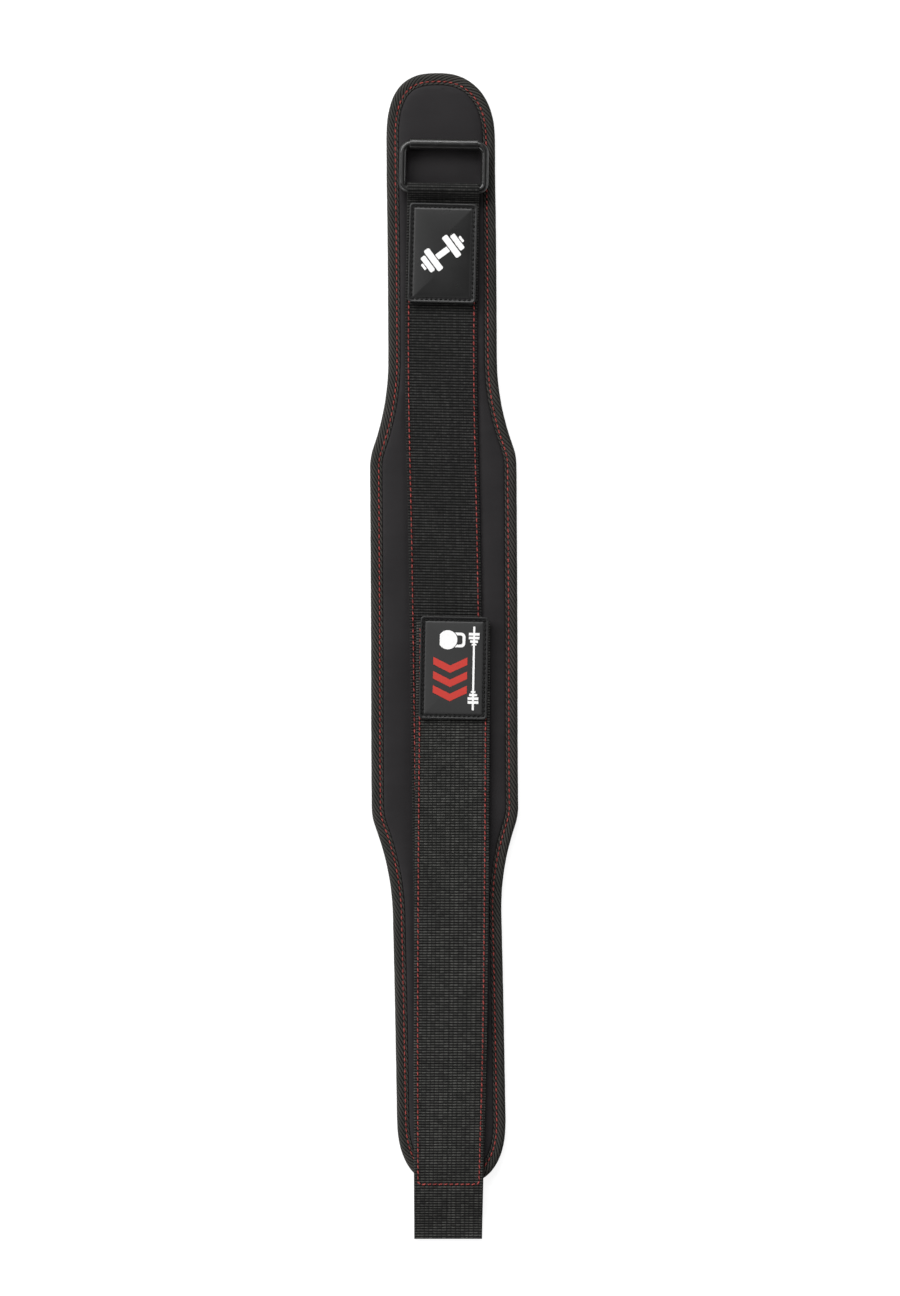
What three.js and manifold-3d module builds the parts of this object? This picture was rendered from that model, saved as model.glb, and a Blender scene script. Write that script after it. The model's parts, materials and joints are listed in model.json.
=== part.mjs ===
import * as THREE from 'three';
import { mergeVertices } from 'three/addons/utils/BufferGeometryUtils.js';
import Module from 'manifold-3d';

// A padded lifting belt lying flat, face up, in millimetres. +Y runs along the belt to its buckle end,
// +X to the right of somebody who looks down on it with the buckle end at the top, +Z up from the floor.
// The lengths below count from the middle of the pad. The last lines move the origin to the base.

// Pad and its outline
const padLength = 774;
const panelWidth = 101.6;
const panelLength = 236;
const panelMiddleY = -4.8;
const armWidth = 75.2;
const flareSlope = THREE.MathUtils.degToRad(18.5);
const flareHollowRadius = 180;
const flareShoulderRadius = 42;
const endCapDepth = 48.7;
const endCapPower = 2.5;
const foamThickness = 6.2;
const foamCrown = 0.7;
const foamCrownReach = 3;
const foamRimRise = 1.2;

// Edge binding, a tape folded round the rim of the pad
const bindingFlange = 8;
const bindingHeight = 6;
const tapeThickness = 0.9;
const tapeCorner = 1.6;

// Base webbing, sewn down the middle of the pad and turned round the buckle's lower bar
const webbingWidth = 50;
const webbingThickness = 1.6;
const webbingEndInset = 95;
const foldSlope = THREE.MathUtils.degToRad(50);
const foldFilletRadius = 3;

// Closing strap, free at its lower end
const strapThickness = 2;
const strapOverhang = 37.2;
const strapRestLength = 7;
const strapStepLength = 6;

// Buckle: a wire ring with a roller on its upper bar
const wireDiameter = 5.4;
const ringWidth = 62.4;
const barSpacing = 31.2;
const barX = 2.3;
const barFromPadEnd = 81.5;
const ringUpperCornerRadius = 8.8;
const ringLowerCornerRadius = 6.9;
const rollerDiameter = 7.6;
const rollerWall = 0.75;
const rollerLength = 47.5;
const headTurn = THREE.MathUtils.degToRad(-1.7);

// Moulded labels
const labelThickness = 2;
const labelCorner = 2.6;
const labelRim = 1.5;
const labelGroove = 2;
const labelGrooveDepth = 0.7;
const upperLabel = { x: 1.2, belowBar: 44.3, width: 47.2, length: 69, turn: THREE.MathUtils.degToRad(-2.1) };
const lowerLabel = { x: 5.4, y: -26.7, width: 47.4, length: 71.3, turn: THREE.MathUtils.degToRad(-1.8) };

// Small gaps that keep touching pieces apart
const gap = 0.3;
const sideGap = 0.4;

// How far the middle line of the lying pad strays sideways
// at counts in half pad lengths from its middle, shift in panel widths
const padBow = [
  { at: 1, shift: -0.018 },
  { at: 0.95, shift: 0 },
  { at: 0.79, shift: 0.007 },
  { at: 0.41, shift: 0.001 },
  { at: 0, shift: -0.009 },
  { at: -0.31, shift: -0.019 },
  { at: -0.67, shift: -0.007 },
  { at: -1, shift: 0 },
];

// Middle line of the base webbing below the buckle
// down counts in pad lengths below the lower bar, shift in webbing widths
const webbingBow = [
  { down: 0, shift: 0 },
  { down: 0.152, shift: -0.06 },
  { down: 0.324, shift: -0.045 },
  { down: 0.585, shift: -0.038 },
  { down: 1, shift: -0.038 },
];

// The strap from its hidden upper end to its tip
// at counts in strap lengths, shift and width in webbing widths
const strapCourse = [
  { at: 0, shift: 0.108, width: 1.024 },
  { at: 0.42, shift: 0.039, width: 1.036 },
  { at: 0.71, shift: -0.012, width: 1.014 },
  { at: 0.87, shift: -0.046, width: 0.972 },
  { at: 1, shift: -0.07, width: 0.944 },
];
const strapTurn = THREE.MathUtils.degToRad(-0.7);

// How the strap's end sinks from the rim of the pad to the floor
// out counts in shares of the way outwards, up in shares of the drop
const strapDroop = [
  { out: 0, up: 1 },
  { out: 0.14, up: 0.95 },
  { out: 0.34, up: 0.72 },
  { out: 0.62, up: 0.32 },
  { out: 0.84, up: 0.08 },
  { out: 1, up: 0 },
];

// How finely curves are cut
const capSteps = 8;
const arcSteps = 3;
const straightStep = 45;
const foldSteps = 12;
const filletSteps = 3;
const wireSides = 10;
const cornerSteps = 4;
const leastStripShare = 0.05;
const rollerSides = 20;

// Sizes and places worked out from those above
const barY = padLength / 2 - barFromPadEnd;
const webbingEndY = webbingEndInset - padLength / 2;
const strapTipY = -padLength / 2 - strapOverhang;
const upperLabelY = barY - upperLabel.belowBar;
const wireRadius = wireDiameter / 2;
const rollerRadius = rollerDiameter / 2;
const foldRadius = wireRadius + gap + webbingThickness / 2;
const webbingZ = foamThickness + gap + webbingThickness / 2;
const tailZ = webbingZ + webbingThickness + gap;
const barZ = webbingZ + foldRadius;
const strapStartY = lowerLabel.y + lowerLabel.length / 2 - labelRim - labelGroove;
const strapLength = strapStartY - strapTipY;
const tailEndY = upperLabelY - upperLabel.length / 2 + labelRim;
const padInset = bindingFlange + sideGap;
const padShoulder = padInset + foamRimRise;
const tapeInnerCorner = tapeCorner - tapeThickness / 2;

// Value of one column of a table at a key, along straight lines between its rows
function readTable(rows, keyName, column, key) {
  const ordered = [...rows].sort((a, b) => a[keyName] - b[keyName]);
  const last = ordered.length - 1;
  const place = ordered.findIndex((row) => row[keyName] >= key);
  if (place === 0) return ordered[0][column];
  if (place < 0) return ordered[last][column];
  const low = ordered[place - 1];
  const high = ordered[place];
  const share = (key - low[keyName]) / (high[keyName] - low[keyName]);
  return THREE.MathUtils.lerp(low[column], high[column], share);
}

function padMiddleX(y) {
  return panelWidth * readTable(padBow, 'at', 'shift', y / (padLength / 2));
}

function webbingMiddleX(y) {
  return barX + webbingWidth * readTable(webbingBow, 'down', 'shift', (barY - y) / padLength);
}

function strapShare(y) {
  return (strapStartY - y) / strapLength;
}

function strapMiddleX(y) {
  return webbingWidth * readTable(strapCourse, 'at', 'shift', strapShare(y));
}

function strapWidth(y) {
  return webbingWidth * readTable(strapCourse, 'at', 'width', strapShare(y));
}

// The flare between arm and panel: a shoulder arc, a short slope and a hollow arc
function flareRuns() {
  const rise = (panelWidth - armWidth) / 2;
  const steepest = Math.acos(1 - rise / (flareHollowRadius + flareShoulderRadius));
  const slope = Math.min(flareSlope, steepest);
  const arcRise = (flareHollowRadius + flareShoulderRadius) * (1 - Math.cos(slope));
  const shoulder = flareShoulderRadius * Math.sin(slope);
  const hollow = flareHollowRadius * Math.sin(slope);
  const straight = (rise - arcRise) / Math.tan(slope);
  return { slope, shoulder, straight, hollow };
}

// Half the pad's width at a distance beyond the straight sides of the panel
function flareHalfWidth(beyond) {
  const { slope, shoulder, straight, hollow } = flareRuns();
  const toArm = shoulder + straight + hollow - beyond;
  if (beyond <= 0) return panelWidth / 2;
  if (beyond <= shoulder) {
    return panelWidth / 2 - flareShoulderRadius + Math.sqrt(flareShoulderRadius ** 2 - beyond ** 2);
  }
  if (toArm >= hollow) {
    const foot = armWidth / 2 + flareHollowRadius * (1 - Math.cos(slope));
    return foot + (toArm - hollow) * Math.tan(slope);
  }
  const inHollow = Math.max(toArm, 0);
  return armWidth / 2 + flareHollowRadius - Math.sqrt(flareHollowRadius ** 2 - inHollow ** 2);
}

// Half the outline from the buckle end to the far end, as rows of y and half width
function outlineStations() {
  const { shoulder, straight, hollow } = flareRuns();
  const stations = [];
  const add = (y, half) => {
    const before = stations[stations.length - 1];
    if (!before || before.y - y > 1e-3) stations.push({ y, half });
  };
  const capPoint = (step, side) => {
    const angle = (Math.PI / 2) * (step / capSteps);
    const half = (armWidth / 2) * Math.sin(angle) ** (2 / endCapPower);
    const depth = endCapDepth * (1 - Math.max(Math.cos(angle), 0) ** (2 / endCapPower));
    add(side * (padLength / 2 - depth), step === 0 ? 0 : half);
  };
  const flare = (side) => {
    const cuts = [];
    for (let i = 0; i <= arcSteps; i += 1) cuts.push((shoulder * i) / arcSteps);
    for (let i = 0; i <= arcSteps; i += 1) cuts.push(shoulder + straight + (hollow * i) / arcSteps);
    if (side > 0) cuts.reverse();
    cuts.forEach((beyond) => add(panelMiddleY + side * (panelLength / 2 + beyond), flareHalfWidth(beyond)));
  };
  const straights = (fromY, toY, half) => {
    const count = Math.max(1, Math.round((fromY - toY) / straightStep));
    for (let i = 1; i < count; i += 1) add(THREE.MathUtils.lerp(fromY, toY, i / count), half);
  };
  const capY = padLength / 2 - endCapDepth;
  const flareEnd = panelLength / 2 + shoulder + straight + hollow;
  for (let i = 0; i <= capSteps; i += 1) capPoint(i, 1);
  straights(capY, panelMiddleY + flareEnd, armWidth / 2);
  flare(1);
  straights(panelMiddleY + panelLength / 2, panelMiddleY - panelLength / 2, panelWidth / 2);
  flare(-1);
  straights(panelMiddleY - flareEnd, -capY, armWidth / 2);
  for (let i = capSteps; i >= 0; i -= 1) capPoint(i, -1);
  return stations;
}

// The closed outline, down the right side from the buckle end and up the left side
function outlineLoop(stations) {
  const side = (list, sign) => list.map(({ y, half }) => new THREE.Vector2(padMiddleX(y) + sign * half, y));
  return [...side(stations, 1), ...side(stations.slice(1, -1).reverse(), -1)];
}

// Points at a distance to the right of a run of points, square to it, mitred at the bends
function offsetRun(points, distance, closed) {
  const count = points.length;
  return points.map((point, i) => {
    const before = closed || i > 0 ? points[(i - 1 + count) % count] : point;
    const after = closed || i < count - 1 ? points[(i + 1) % count] : point;
    const incoming = point.clone().sub(before).normalize();
    const outgoing = after.clone().sub(point).normalize();
    const along = incoming.clone().add(outgoing).normalize();
    const straightPart = Math.max(along.dot(incoming), along.dot(outgoing));
    return new THREE.Vector2(along.y, -along.x).multiplyScalar(distance / straightPart).add(point);
  });
}

// A geometry from corner points and triangles, turned so that its faces point out
function closedGeometry(corners, triangles) {
  const volume = triangles.reduce((sum, [a, b, c]) => {
    return sum + corners[a].dot(corners[b].clone().cross(corners[c]));
  }, 0);
  const outward = volume > 0 ? triangles : triangles.map(([a, b, c]) => [a, c, b]);
  const geometry = new THREE.BufferGeometry();
  geometry.setAttribute('position', new THREE.Float32BufferAttribute(corners.flatMap((p) => p.toArray()), 3));
  geometry.setIndex(outward.flat());
  geometry.computeVertexNormals();
  return geometry;
}

// A closed ring swept through a closed row of equal closed sections
function loopGeometry(sections) {
  const turns = sections.length;
  const sides = sections[0].length;
  const triangles = [];
  for (let i = 0; i < turns; i += 1) {
    for (let j = 0; j < sides; j += 1) {
      const a = i * sides + j;
      const b = i * sides + ((j + 1) % sides);
      const c = ((i + 1) % turns) * sides + ((j + 1) % sides);
      const d = ((i + 1) % turns) * sides + j;
      triangles.push([a, b, c], [a, c, d]);
    }
  }
  return closedGeometry(sections.flat(), triangles);
}

// How high the neoprene stands over the pressed foam: it swells away from the binding and the sewn webbing
function foamSwell(x, y, fromRim) {
  const beyondEnd = Math.max(webbingEndY - y, y - (barY + foldRadius + webbingThickness));
  const beyondSide = Math.abs(x - webbingMiddleX(y)) - webbingWidth / 2 - sideGap;
  const fromWebbing = Math.max(beyondSide, beyondEnd);
  const free = Math.min(fromRim - padShoulder, fromWebbing);
  return free > 0 ? foamCrown * (1 - Math.exp(-free / foamCrownReach)) : 0;
}

function onFloor({ x, y }) {
  return new THREE.Vector3(x, y, 0);
}

function distanceToLoop(point, loop) {
  const nearest = new THREE.Vector3();
  const target = onFloor(point);
  return loop.reduce((least, corner, i) => {
    const next = loop[(i + 1) % loop.length];
    const edge = new THREE.Line3(onFloor(corner), onFloor(next));
    edge.closestPointToPoint(target, true, nearest);
    return Math.min(least, nearest.distanceTo(target));
  }, Infinity);
}

// The pad in plan: rings that follow the rim, then rows across between the two sides of the innermost ring
function padPlan(stations, loop) {
  const rim = tapeThickness + gap;
  const rimHigh = bindingHeight - rim;
  const rings = [
    { inset: rim, low: rim + tapeInnerCorner, high: rimHigh - tapeInnerCorner },
    { inset: rim + tapeInnerCorner, low: rim, high: rimHigh },
    { inset: padInset, low: rim, high: rimHigh },
    { inset: padShoulder, low: 0, high: foamThickness },
  ];
  const points = [];
  const triangles = [];
  rings.forEach(({ inset, low, high }) => {
    offsetRun(loop, inset, true).forEach(({ x, y }) => points.push({ x, y, low, high }));
  });
  const around = loop.length;
  for (let ring = 0; ring < rings.length - 1; ring += 1) {
    for (let i = 0; i < around; i += 1) {
      const a = ring * around + i;
      const b = ring * around + ((i + 1) % around);
      triangles.push([a, b + around, b], [a, a + around, b + around]);
    }
  }
  const inner = (rings.length - 1) * around;
  const last = stations.length - 1;
  const rows = stations.map((station, i) => {
    if (i === 0 || i === last) return [inner + i];
    return padRow(points, inner + around - i, inner + i, loop);
  });
  for (let i = 0; i < last; i += 1) joinRows(rows[i], rows[i + 1], triangles);
  return { points, triangles, around };
}

// One row of points across the pad between a left and a right point, close together at the webbing's edges
function padRow(points, left, right, loop) {
  const from = points[left];
  const to = points[right];
  const leastStrip = (to.x - from.x) * leastStripShare;
  const channel = webbingWidth / 2 + sideGap;
  const leftWall = Math.max(webbingMiddleX(from.y) - channel, from.x + leastStrip);
  const rightWall = Math.min(webbingMiddleX(to.y) + channel, to.x - leastStrip);
  const leftBrow = Math.max(leftWall - foamCrownReach, (leftWall + from.x) / 2);
  const rightBrow = Math.min(rightWall + foamCrownReach, (rightWall + to.x) / 2);
  const under = [0, 0.25, 0.5, 0.75, 1].map((share) => THREE.MathUtils.lerp(leftWall, rightWall, share));
  const places = [(from.x + leftBrow) / 2, leftBrow, ...under, rightBrow, (rightBrow + to.x) / 2];
  const row = places.map((x) => {
    const y = THREE.MathUtils.mapLinear(x, from.x, to.x, from.y, to.y);
    const swell = foamSwell(x, y, distanceToLoop({ x, y }, loop));
    points.push({ x, y, low: 0, high: foamThickness + swell });
    return points.length - 1;
  });
  return [left, ...row, right];
}

// Triangles between two rows, of which either may be a single point
function joinRows(upper, lower, triangles) {
  for (let j = 0; j < Math.max(upper.length, lower.length) - 1; j += 1) {
    if (lower.length > 1) triangles.push([upper[Math.min(j, upper.length - 1)], lower[j], lower[j + 1]]);
    if (upper.length > 1) triangles.push([upper[j], lower[Math.min(j + 1, lower.length - 1)], upper[j + 1]]);
  }
}

// The plan's face and back, joined by a wall round its outermost ring
function padGeometry(stations, loop) {
  const { points, triangles, around } = padPlan(stations, loop);
  const count = points.length;
  const face = points.map(({ x, y, high }) => new THREE.Vector3(x, y, high));
  const back = points.map(({ x, y, low }) => new THREE.Vector3(x, y, low));
  const under = triangles.map(([a, b, c]) => [a + count, c + count, b + count]);
  const wall = [];
  for (let i = 0; i < around; i += 1) {
    const next = (i + 1) % around;
    wall.push([i, next, next + count], [i, next + count, i + count]);
  }
  return closedGeometry([...face, ...back], [...triangles, ...under, ...wall]);
}

// The tape's section: in counts inwards from the rim, up from the floor
function bindingSection() {
  const shave = tapeCorner * (1 - Math.SQRT1_2);
  const innerHeight = bindingHeight - tapeThickness;
  const outside = [
    { in: bindingFlange, up: bindingHeight },
    { in: tapeCorner, up: bindingHeight },
    { in: shave, up: bindingHeight - shave },
    { in: 0, up: bindingHeight - tapeCorner },
  ];
  const inside = [
    { in: tapeThickness, up: innerHeight - tapeInnerCorner },
    { in: tapeThickness + tapeInnerCorner, up: innerHeight },
    { in: bindingFlange, up: innerHeight },
  ];
  const mirrored = (points) => points.map((p) => ({ in: p.in, up: bindingHeight - p.up })).reverse();
  return [...outside, ...mirrored(outside), ...mirrored(inside), ...inside];
}

function bindingGeometry(loop) {
  const section = bindingSection();
  const rings = section.map((point) => offsetRun(loop, point.in, true));
  const sections = loop.map((corner, i) => {
    return section.map(({ up }, j) => new THREE.Vector3(rings[j][i].x, rings[j][i].y, up));
  });
  return loopGeometry(sections);
}

// A ribbon from its side view: a middle line of (y, z) points, given thickness, then width across
function ribbonGeometry(middleLine, thickness, middleX, width, turn) {
  const over = offsetRun(middleLine, -thickness / 2, false);
  const under = offsetRun(middleLine, thickness / 2, false);
  const sideView = new THREE.Shape([...over, ...under.reverse()]);
  const geometry = new THREE.ExtrudeGeometry(sideView, { depth: 1, steps: 1, bevelEnabled: false });
  const place = geometry.getAttribute('position');
  for (let i = 0; i < place.count; i += 1) {
    const y = place.getX(i);
    const z = place.getY(i);
    const across = (place.getZ(i) - 0.5) * width(y);
    place.setXYZ(i, middleX(y) + across * Math.cos(turn), y + across * Math.sin(turn), z);
  }
  return geometry;
}

function levelRun(fromY, toY, z) {
  const count = Math.ceil(Math.abs(toY - fromY) / straightStep);
  return Array.from({ length: count + 1 }, (_, i) => {
    return new THREE.Vector2(THREE.MathUtils.lerp(fromY, toY, i / count), z);
  });
}

function arcRun(centreY, centreZ, radius, fromAngle, toAngle, steps) {
  return Array.from({ length: steps + 1 }, (_, i) => {
    const angle = THREE.MathUtils.lerp(fromAngle, toAngle, i / steps);
    return new THREE.Vector2(centreY + radius * Math.cos(angle), centreZ + radius * Math.sin(angle));
  });
}

// Along the pad, round the lower bar of the buckle and back on itself under the upper label
function baseWebbingGeometry() {
  const fold = arcRun(barY, barZ, foldRadius, -Math.PI / 2, Math.PI / 2 + foldSlope, foldSteps);
  const foldEnd = fold[fold.length - 1];
  const filletDrop = foldFilletRadius * (1 - Math.cos(foldSlope));
  const slopeRun = (foldEnd.y - tailZ - filletDrop) / Math.tan(foldSlope);
  const landY = foldEnd.x - slopeRun - foldFilletRadius * Math.sin(foldSlope);
  const landZ = tailZ + foldFilletRadius;
  const landing = arcRun(landY, landZ, foldFilletRadius, foldSlope - Math.PI / 2, -Math.PI / 2, filletSteps);
  const lower = levelRun(webbingEndY, barY, webbingZ).slice(0, -1);
  const tail = levelRun(landY, tailEndY, tailZ).slice(1);
  const middleLine = [...lower, ...fold, ...landing, ...tail];
  return ribbonGeometry(middleLine, webbingThickness, webbingMiddleX, () => webbingWidth, headTurn);
}

// Over the base webbing, down onto the bare pad, over the end binding and on to the floor
function strapGeometry() {
  const half = strapThickness / 2;
  const onWebbing = webbingZ + webbingThickness / 2 + gap + half;
  const onPad = foamThickness + foamCrown + gap + half;
  const onBinding = Math.max(bindingHeight, foamThickness) + gap + half;
  const padEndY = -padLength / 2;
  const outerReach = padEndY - strapTipY - strapRestLength;
  const leaveWebbing = webbingEndY - strapStepLength;
  const steps = [
    { y: leaveWebbing, z: onWebbing },
    { y: leaveWebbing - strapStepLength / 2, z: (onWebbing + onPad) / 2 },
    { y: leaveWebbing - strapStepLength, z: onPad },
    { y: padEndY + padShoulder + strapStepLength, z: onPad },
    { y: padEndY + padShoulder, z: (onPad + onBinding) / 2 },
    { y: padEndY + bindingFlange / 2, z: onBinding },
  ];
  const droop = strapDroop.map(({ out, up }) => {
    return { y: padEndY - outerReach * out, z: THREE.MathUtils.lerp(half, onBinding, up) };
  });
  const course = [...steps, ...droop, { y: strapTipY, z: half }].map(({ y, z }) => new THREE.Vector2(y, z));
  const level = levelRun(strapStartY, leaveWebbing, onWebbing).slice(0, -1);
  return ribbonGeometry([...level, ...course], strapThickness, strapMiddleX, strapWidth, strapTurn);
}

function roundedRectangle(width, length, radius, lowerRadius = radius) {
  const shape = new THREE.Shape();
  const corner = (sideX, sideY, size, from) => {
    shape.absarc(sideX * (width / 2 - size), sideY * (length / 2 - size), size, from, from + Math.PI / 2);
  };
  corner(1, 1, radius, 0);
  corner(-1, 1, radius, Math.PI / 2);
  corner(-1, -1, lowerRadius, Math.PI);
  corner(1, -1, lowerRadius, 1.5 * Math.PI);
  return shape;
}

// The wire ring, flat, with its lower bar on the X axis
function buckleFrameGeometry() {
  const width = ringWidth - wireDiameter;
  const upper = ringUpperCornerRadius - wireRadius;
  const lower = ringLowerCornerRadius - wireRadius;
  const outline = roundedRectangle(width, barSpacing, upper, lower).getPoints(cornerSteps);
  const path = outline.filter((point, i) => {
    return point.distanceTo(outline[(i + 1) % outline.length]) > 1e-6;
  });
  const across = offsetRun(path, 1, true);
  const sections = path.map((point, i) => {
    const outwards = across[i].clone().sub(point).multiplyScalar(wireRadius);
    return Array.from({ length: wireSides }, (_, j) => {
      const angle = (2 * Math.PI * j) / wireSides;
      const side = outwards.clone().multiplyScalar(Math.cos(angle)).add(point);
      return new THREE.Vector3(side.x, side.y + barSpacing / 2, wireRadius * Math.sin(angle));
    });
  });
  return loopGeometry(sections);
}

function buckleRollerGeometry() {
  const bore = rollerRadius - rollerWall;
  const half = rollerLength / 2;
  const chamfer = rollerWall / 3;
  const profile = [
    [bore, -half],
    [rollerRadius - chamfer, -half],
    [rollerRadius, -half + chamfer],
    [rollerRadius, half - chamfer],
    [rollerRadius - chamfer, half],
    [bore, half],
    [bore, -half],
  ].map(([x, y]) => new THREE.Vector2(x, y));
  return new THREE.LatheGeometry(profile, rollerSides).rotateZ(-Math.PI / 2);
}

const wasm = await Module();
wasm.setup();

function toSolid(geometry) {
  const bare = geometry.clone();
  bare.deleteAttribute('normal');
  bare.deleteAttribute('uv');
  const merged = mergeVertices(bare, 1e-4);
  return new wasm.Manifold(new wasm.Mesh({
    numProp: 3,
    vertProperties: Float32Array.from(merged.getAttribute('position').array),
    triVerts: Uint32Array.from(merged.getIndex().array),
  }));
}

function fromSolid(solid) {
  const { vertProperties, triVerts } = solid.getMesh();
  const geometry = new THREE.BufferGeometry();
  geometry.setAttribute('position', new THREE.BufferAttribute(Float32Array.from(vertProperties), 3));
  geometry.setIndex(new THREE.BufferAttribute(Uint32Array.from(triVerts), 1));
  geometry.computeVertexNormals();
  return geometry;
}

function extrudeUp(shape, fromZ, height) {
  const options = { depth: height, bevelEnabled: false, curveSegments: cornerSteps };
  return new THREE.ExtrudeGeometry(shape, options).translate(0, 0, fromZ);
}

// A plate with a stitching groove between its rim and its raised middle
function labelGeometry({ width, length }) {
  const inset = (amount) => {
    const radius = Math.max(labelCorner - amount / 2, 0.5);
    return roundedRectangle(width - 2 * amount, length - 2 * amount, radius);
  };
  const plate = toSolid(extrudeUp(inset(0), 0, labelThickness));
  const groove = inset(labelRim);
  groove.holes.push(inset(labelRim + labelGroove));
  const cutter = toSolid(extrudeUp(groove, labelThickness - labelGrooveDepth, labelGrooveDepth + 1));
  return fromSolid(plate.subtract(cutter));
}

const materials = {
  neoprene: new THREE.MeshStandardMaterial({ color: 0x302e30, roughness: 0.85, metalness: 0 }),
  tape: new THREE.MeshStandardMaterial({ color: 0x34332f, roughness: 0.8, metalness: 0 }),
  webbing: new THREE.MeshStandardMaterial({ color: 0x2a2a28, roughness: 0.75, metalness: 0 }),
  label: new THREE.MeshStandardMaterial({ color: 0x333333, roughness: 0.45, metalness: 0 }),
  steel: new THREE.MeshStandardMaterial({ color: 0x2c2b2a, roughness: 0.4, metalness: 0.6 }),
};

function piece(name, geometry, material) {
  const mesh = new THREE.Mesh(geometry, material);
  mesh.name = name;
  return mesh;
}

function label(name, size, y, z) {
  const mesh = piece(name, labelGeometry(size), materials.label);
  mesh.position.set(size.x, y, z);
  mesh.rotation.z = size.turn;
  return mesh;
}

// The buckle's group stands at the lower bar, turned with the webbing that carries it
function buckle() {
  const group = new THREE.Group();
  const roller = piece('buckle_roller', buckleRollerGeometry(), materials.steel);
  roller.position.y = barSpacing;
  group.add(piece('buckle_frame', buckleFrameGeometry(), materials.steel), roller);
  group.position.set(barX, barY, barZ);
  group.rotation.z = headTurn;
  return group;
}

function belt() {
  const group = new THREE.Group();
  const stations = outlineStations();
  const loop = outlineLoop(stations);
  const tailTop = tailZ + webbingThickness / 2;
  const strapTop = webbingZ + webbingThickness / 2 + gap + strapThickness;
  group.add(
    piece('pad', padGeometry(stations, loop), materials.neoprene),
    piece('binding', bindingGeometry(loop), materials.tape),
    piece('base_webbing', baseWebbingGeometry(), materials.webbing),
    piece('strap', strapGeometry(), materials.webbing),
    label('label_upper', upperLabel, upperLabelY, tailTop + gap),
    label('label_lower', lowerLabel, lowerLabel.y, strapTop + gap),
    buckle(),
  );
  return group;
}

// The origin is the middle of the base
const part = belt();
const reach = new THREE.Box3().setFromObject(part, true);
const centre = reach.getCenter(new THREE.Vector3());
part.position.set(-centre.x, -centre.y, -reach.min.z);

export default part;
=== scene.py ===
"""A padded lifting belt that lies flat, face up, with its buckle end towards +Y.

Lengths are in metres. Belt coordinates count from the middle of the pad: +Y to the buckle end, +X to
the right, +Z up from the floor. make_piece() shifts them to the frame's own origin.
"""

import json
import math

import bpy
import numpy as np
from mathutils.geometry import tessellate_polygon
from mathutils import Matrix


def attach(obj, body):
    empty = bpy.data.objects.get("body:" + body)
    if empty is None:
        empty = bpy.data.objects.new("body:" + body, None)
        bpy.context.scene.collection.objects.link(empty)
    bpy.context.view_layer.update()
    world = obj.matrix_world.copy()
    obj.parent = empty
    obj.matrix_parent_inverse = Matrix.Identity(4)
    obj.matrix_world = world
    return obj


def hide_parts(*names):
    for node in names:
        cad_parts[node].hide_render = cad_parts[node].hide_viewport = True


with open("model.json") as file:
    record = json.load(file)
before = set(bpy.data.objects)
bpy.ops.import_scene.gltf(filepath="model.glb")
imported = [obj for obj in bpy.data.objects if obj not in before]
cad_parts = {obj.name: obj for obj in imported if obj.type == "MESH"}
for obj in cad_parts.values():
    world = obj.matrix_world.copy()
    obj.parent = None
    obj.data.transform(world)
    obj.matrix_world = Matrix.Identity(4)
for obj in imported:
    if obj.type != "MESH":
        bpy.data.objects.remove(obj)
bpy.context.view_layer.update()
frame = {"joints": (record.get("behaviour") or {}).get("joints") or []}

# Pad and its outline
PAD_LENGTH = 0.774
PANEL_WIDTH = 0.1016
PANEL_LENGTH = 0.236
PANEL_MIDDLE_Y = -0.0048
ARM_WIDTH = 0.0752
FLARE_SLOPE = math.radians(18.5)
FLARE_HOLLOW_RADIUS = 0.18
FLARE_SHOULDER_RADIUS = 0.042
END_CAP_DEPTH = 0.0487
END_CAP_POWER = 2.5
FOAM_THICKNESS = 0.0062
FOAM_CROWN = 0.0007
FOAM_CROWN_REACH = 0.003
FOAM_RIM_RISE = 0.0012
BACK_PINCH = 0.0008
BACK_PINCH_REACH = 0.004

# Puckers of the neoprene along its seams, and its slow waves
RIM_PUCKER = {"height": 0.00014, "reach": 0.004, "wave": 0.0123}
WEBBING_PUCKER = {"height": 0.00012, "reach": 0.003, "wave": 0.0087}
PAD_WAVE = {"height": 0.0001, "reach": 0.008, "wave": 0.11}

# Edge binding
BINDING_FLANGE = 0.008
BINDING_HEIGHT = 0.006
TAPE_THICKNESS = 0.0009
RIM_SPREAD = 0.0032
RIM_POWER = 2.4
TWILL_PITCH = 0.00413
TWILL_LEAN = math.radians(28)
TWILL_DEPTH = 0.00042
TAPE_PROUD = 0.00025
TAPE_WAVE = {"height": 0.00005, "wave": 0.021}

# Base webbing and closing strap
WEBBING_WIDTH = 0.05
WEBBING_THICKNESS = 0.0016
WEBBING_END_INSET = 0.095
WEBBING_RIB_PITCH = 0.00195
FOLD_SLOPE = math.radians(50)
FOLD_FILLET_RADIUS = 0.003
STRAP_THICKNESS = 0.002
STRAP_OVERHANG = 0.0372
STRAP_REST_LENGTH = 0.007
STRAP_STEP_LENGTH = 0.006
STRAP_RIB_PITCH = 0.00185
STRAP_TURN = math.radians(-0.7)
RIB_DEPTH = 0.0003
SELVEDGE_FROM = 0.0016
SELVEDGE_TO = 0.0024
SELVEDGE_RELIEF = 0.35
RIBBON_ROUNDING = 0.0008
RIBBON_WAVE = {"height": 0.00006, "wave": 0.047}

# Buckle
WIRE_DIAMETER = 0.0054
RING_WIDTH = 0.0624
BAR_SPACING = 0.0312
BAR_X = 0.0023
BAR_FROM_PAD_END = 0.0815
RING_UPPER_CORNER_RADIUS = 0.0088
RING_LOWER_CORNER_RADIUS = 0.0069
ROLLER_DIAMETER = 0.0076
ROLLER_WALL = 0.00075
ROLLER_LENGTH = 0.0475
HEAD_TURN = math.radians(-1.7)

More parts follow.
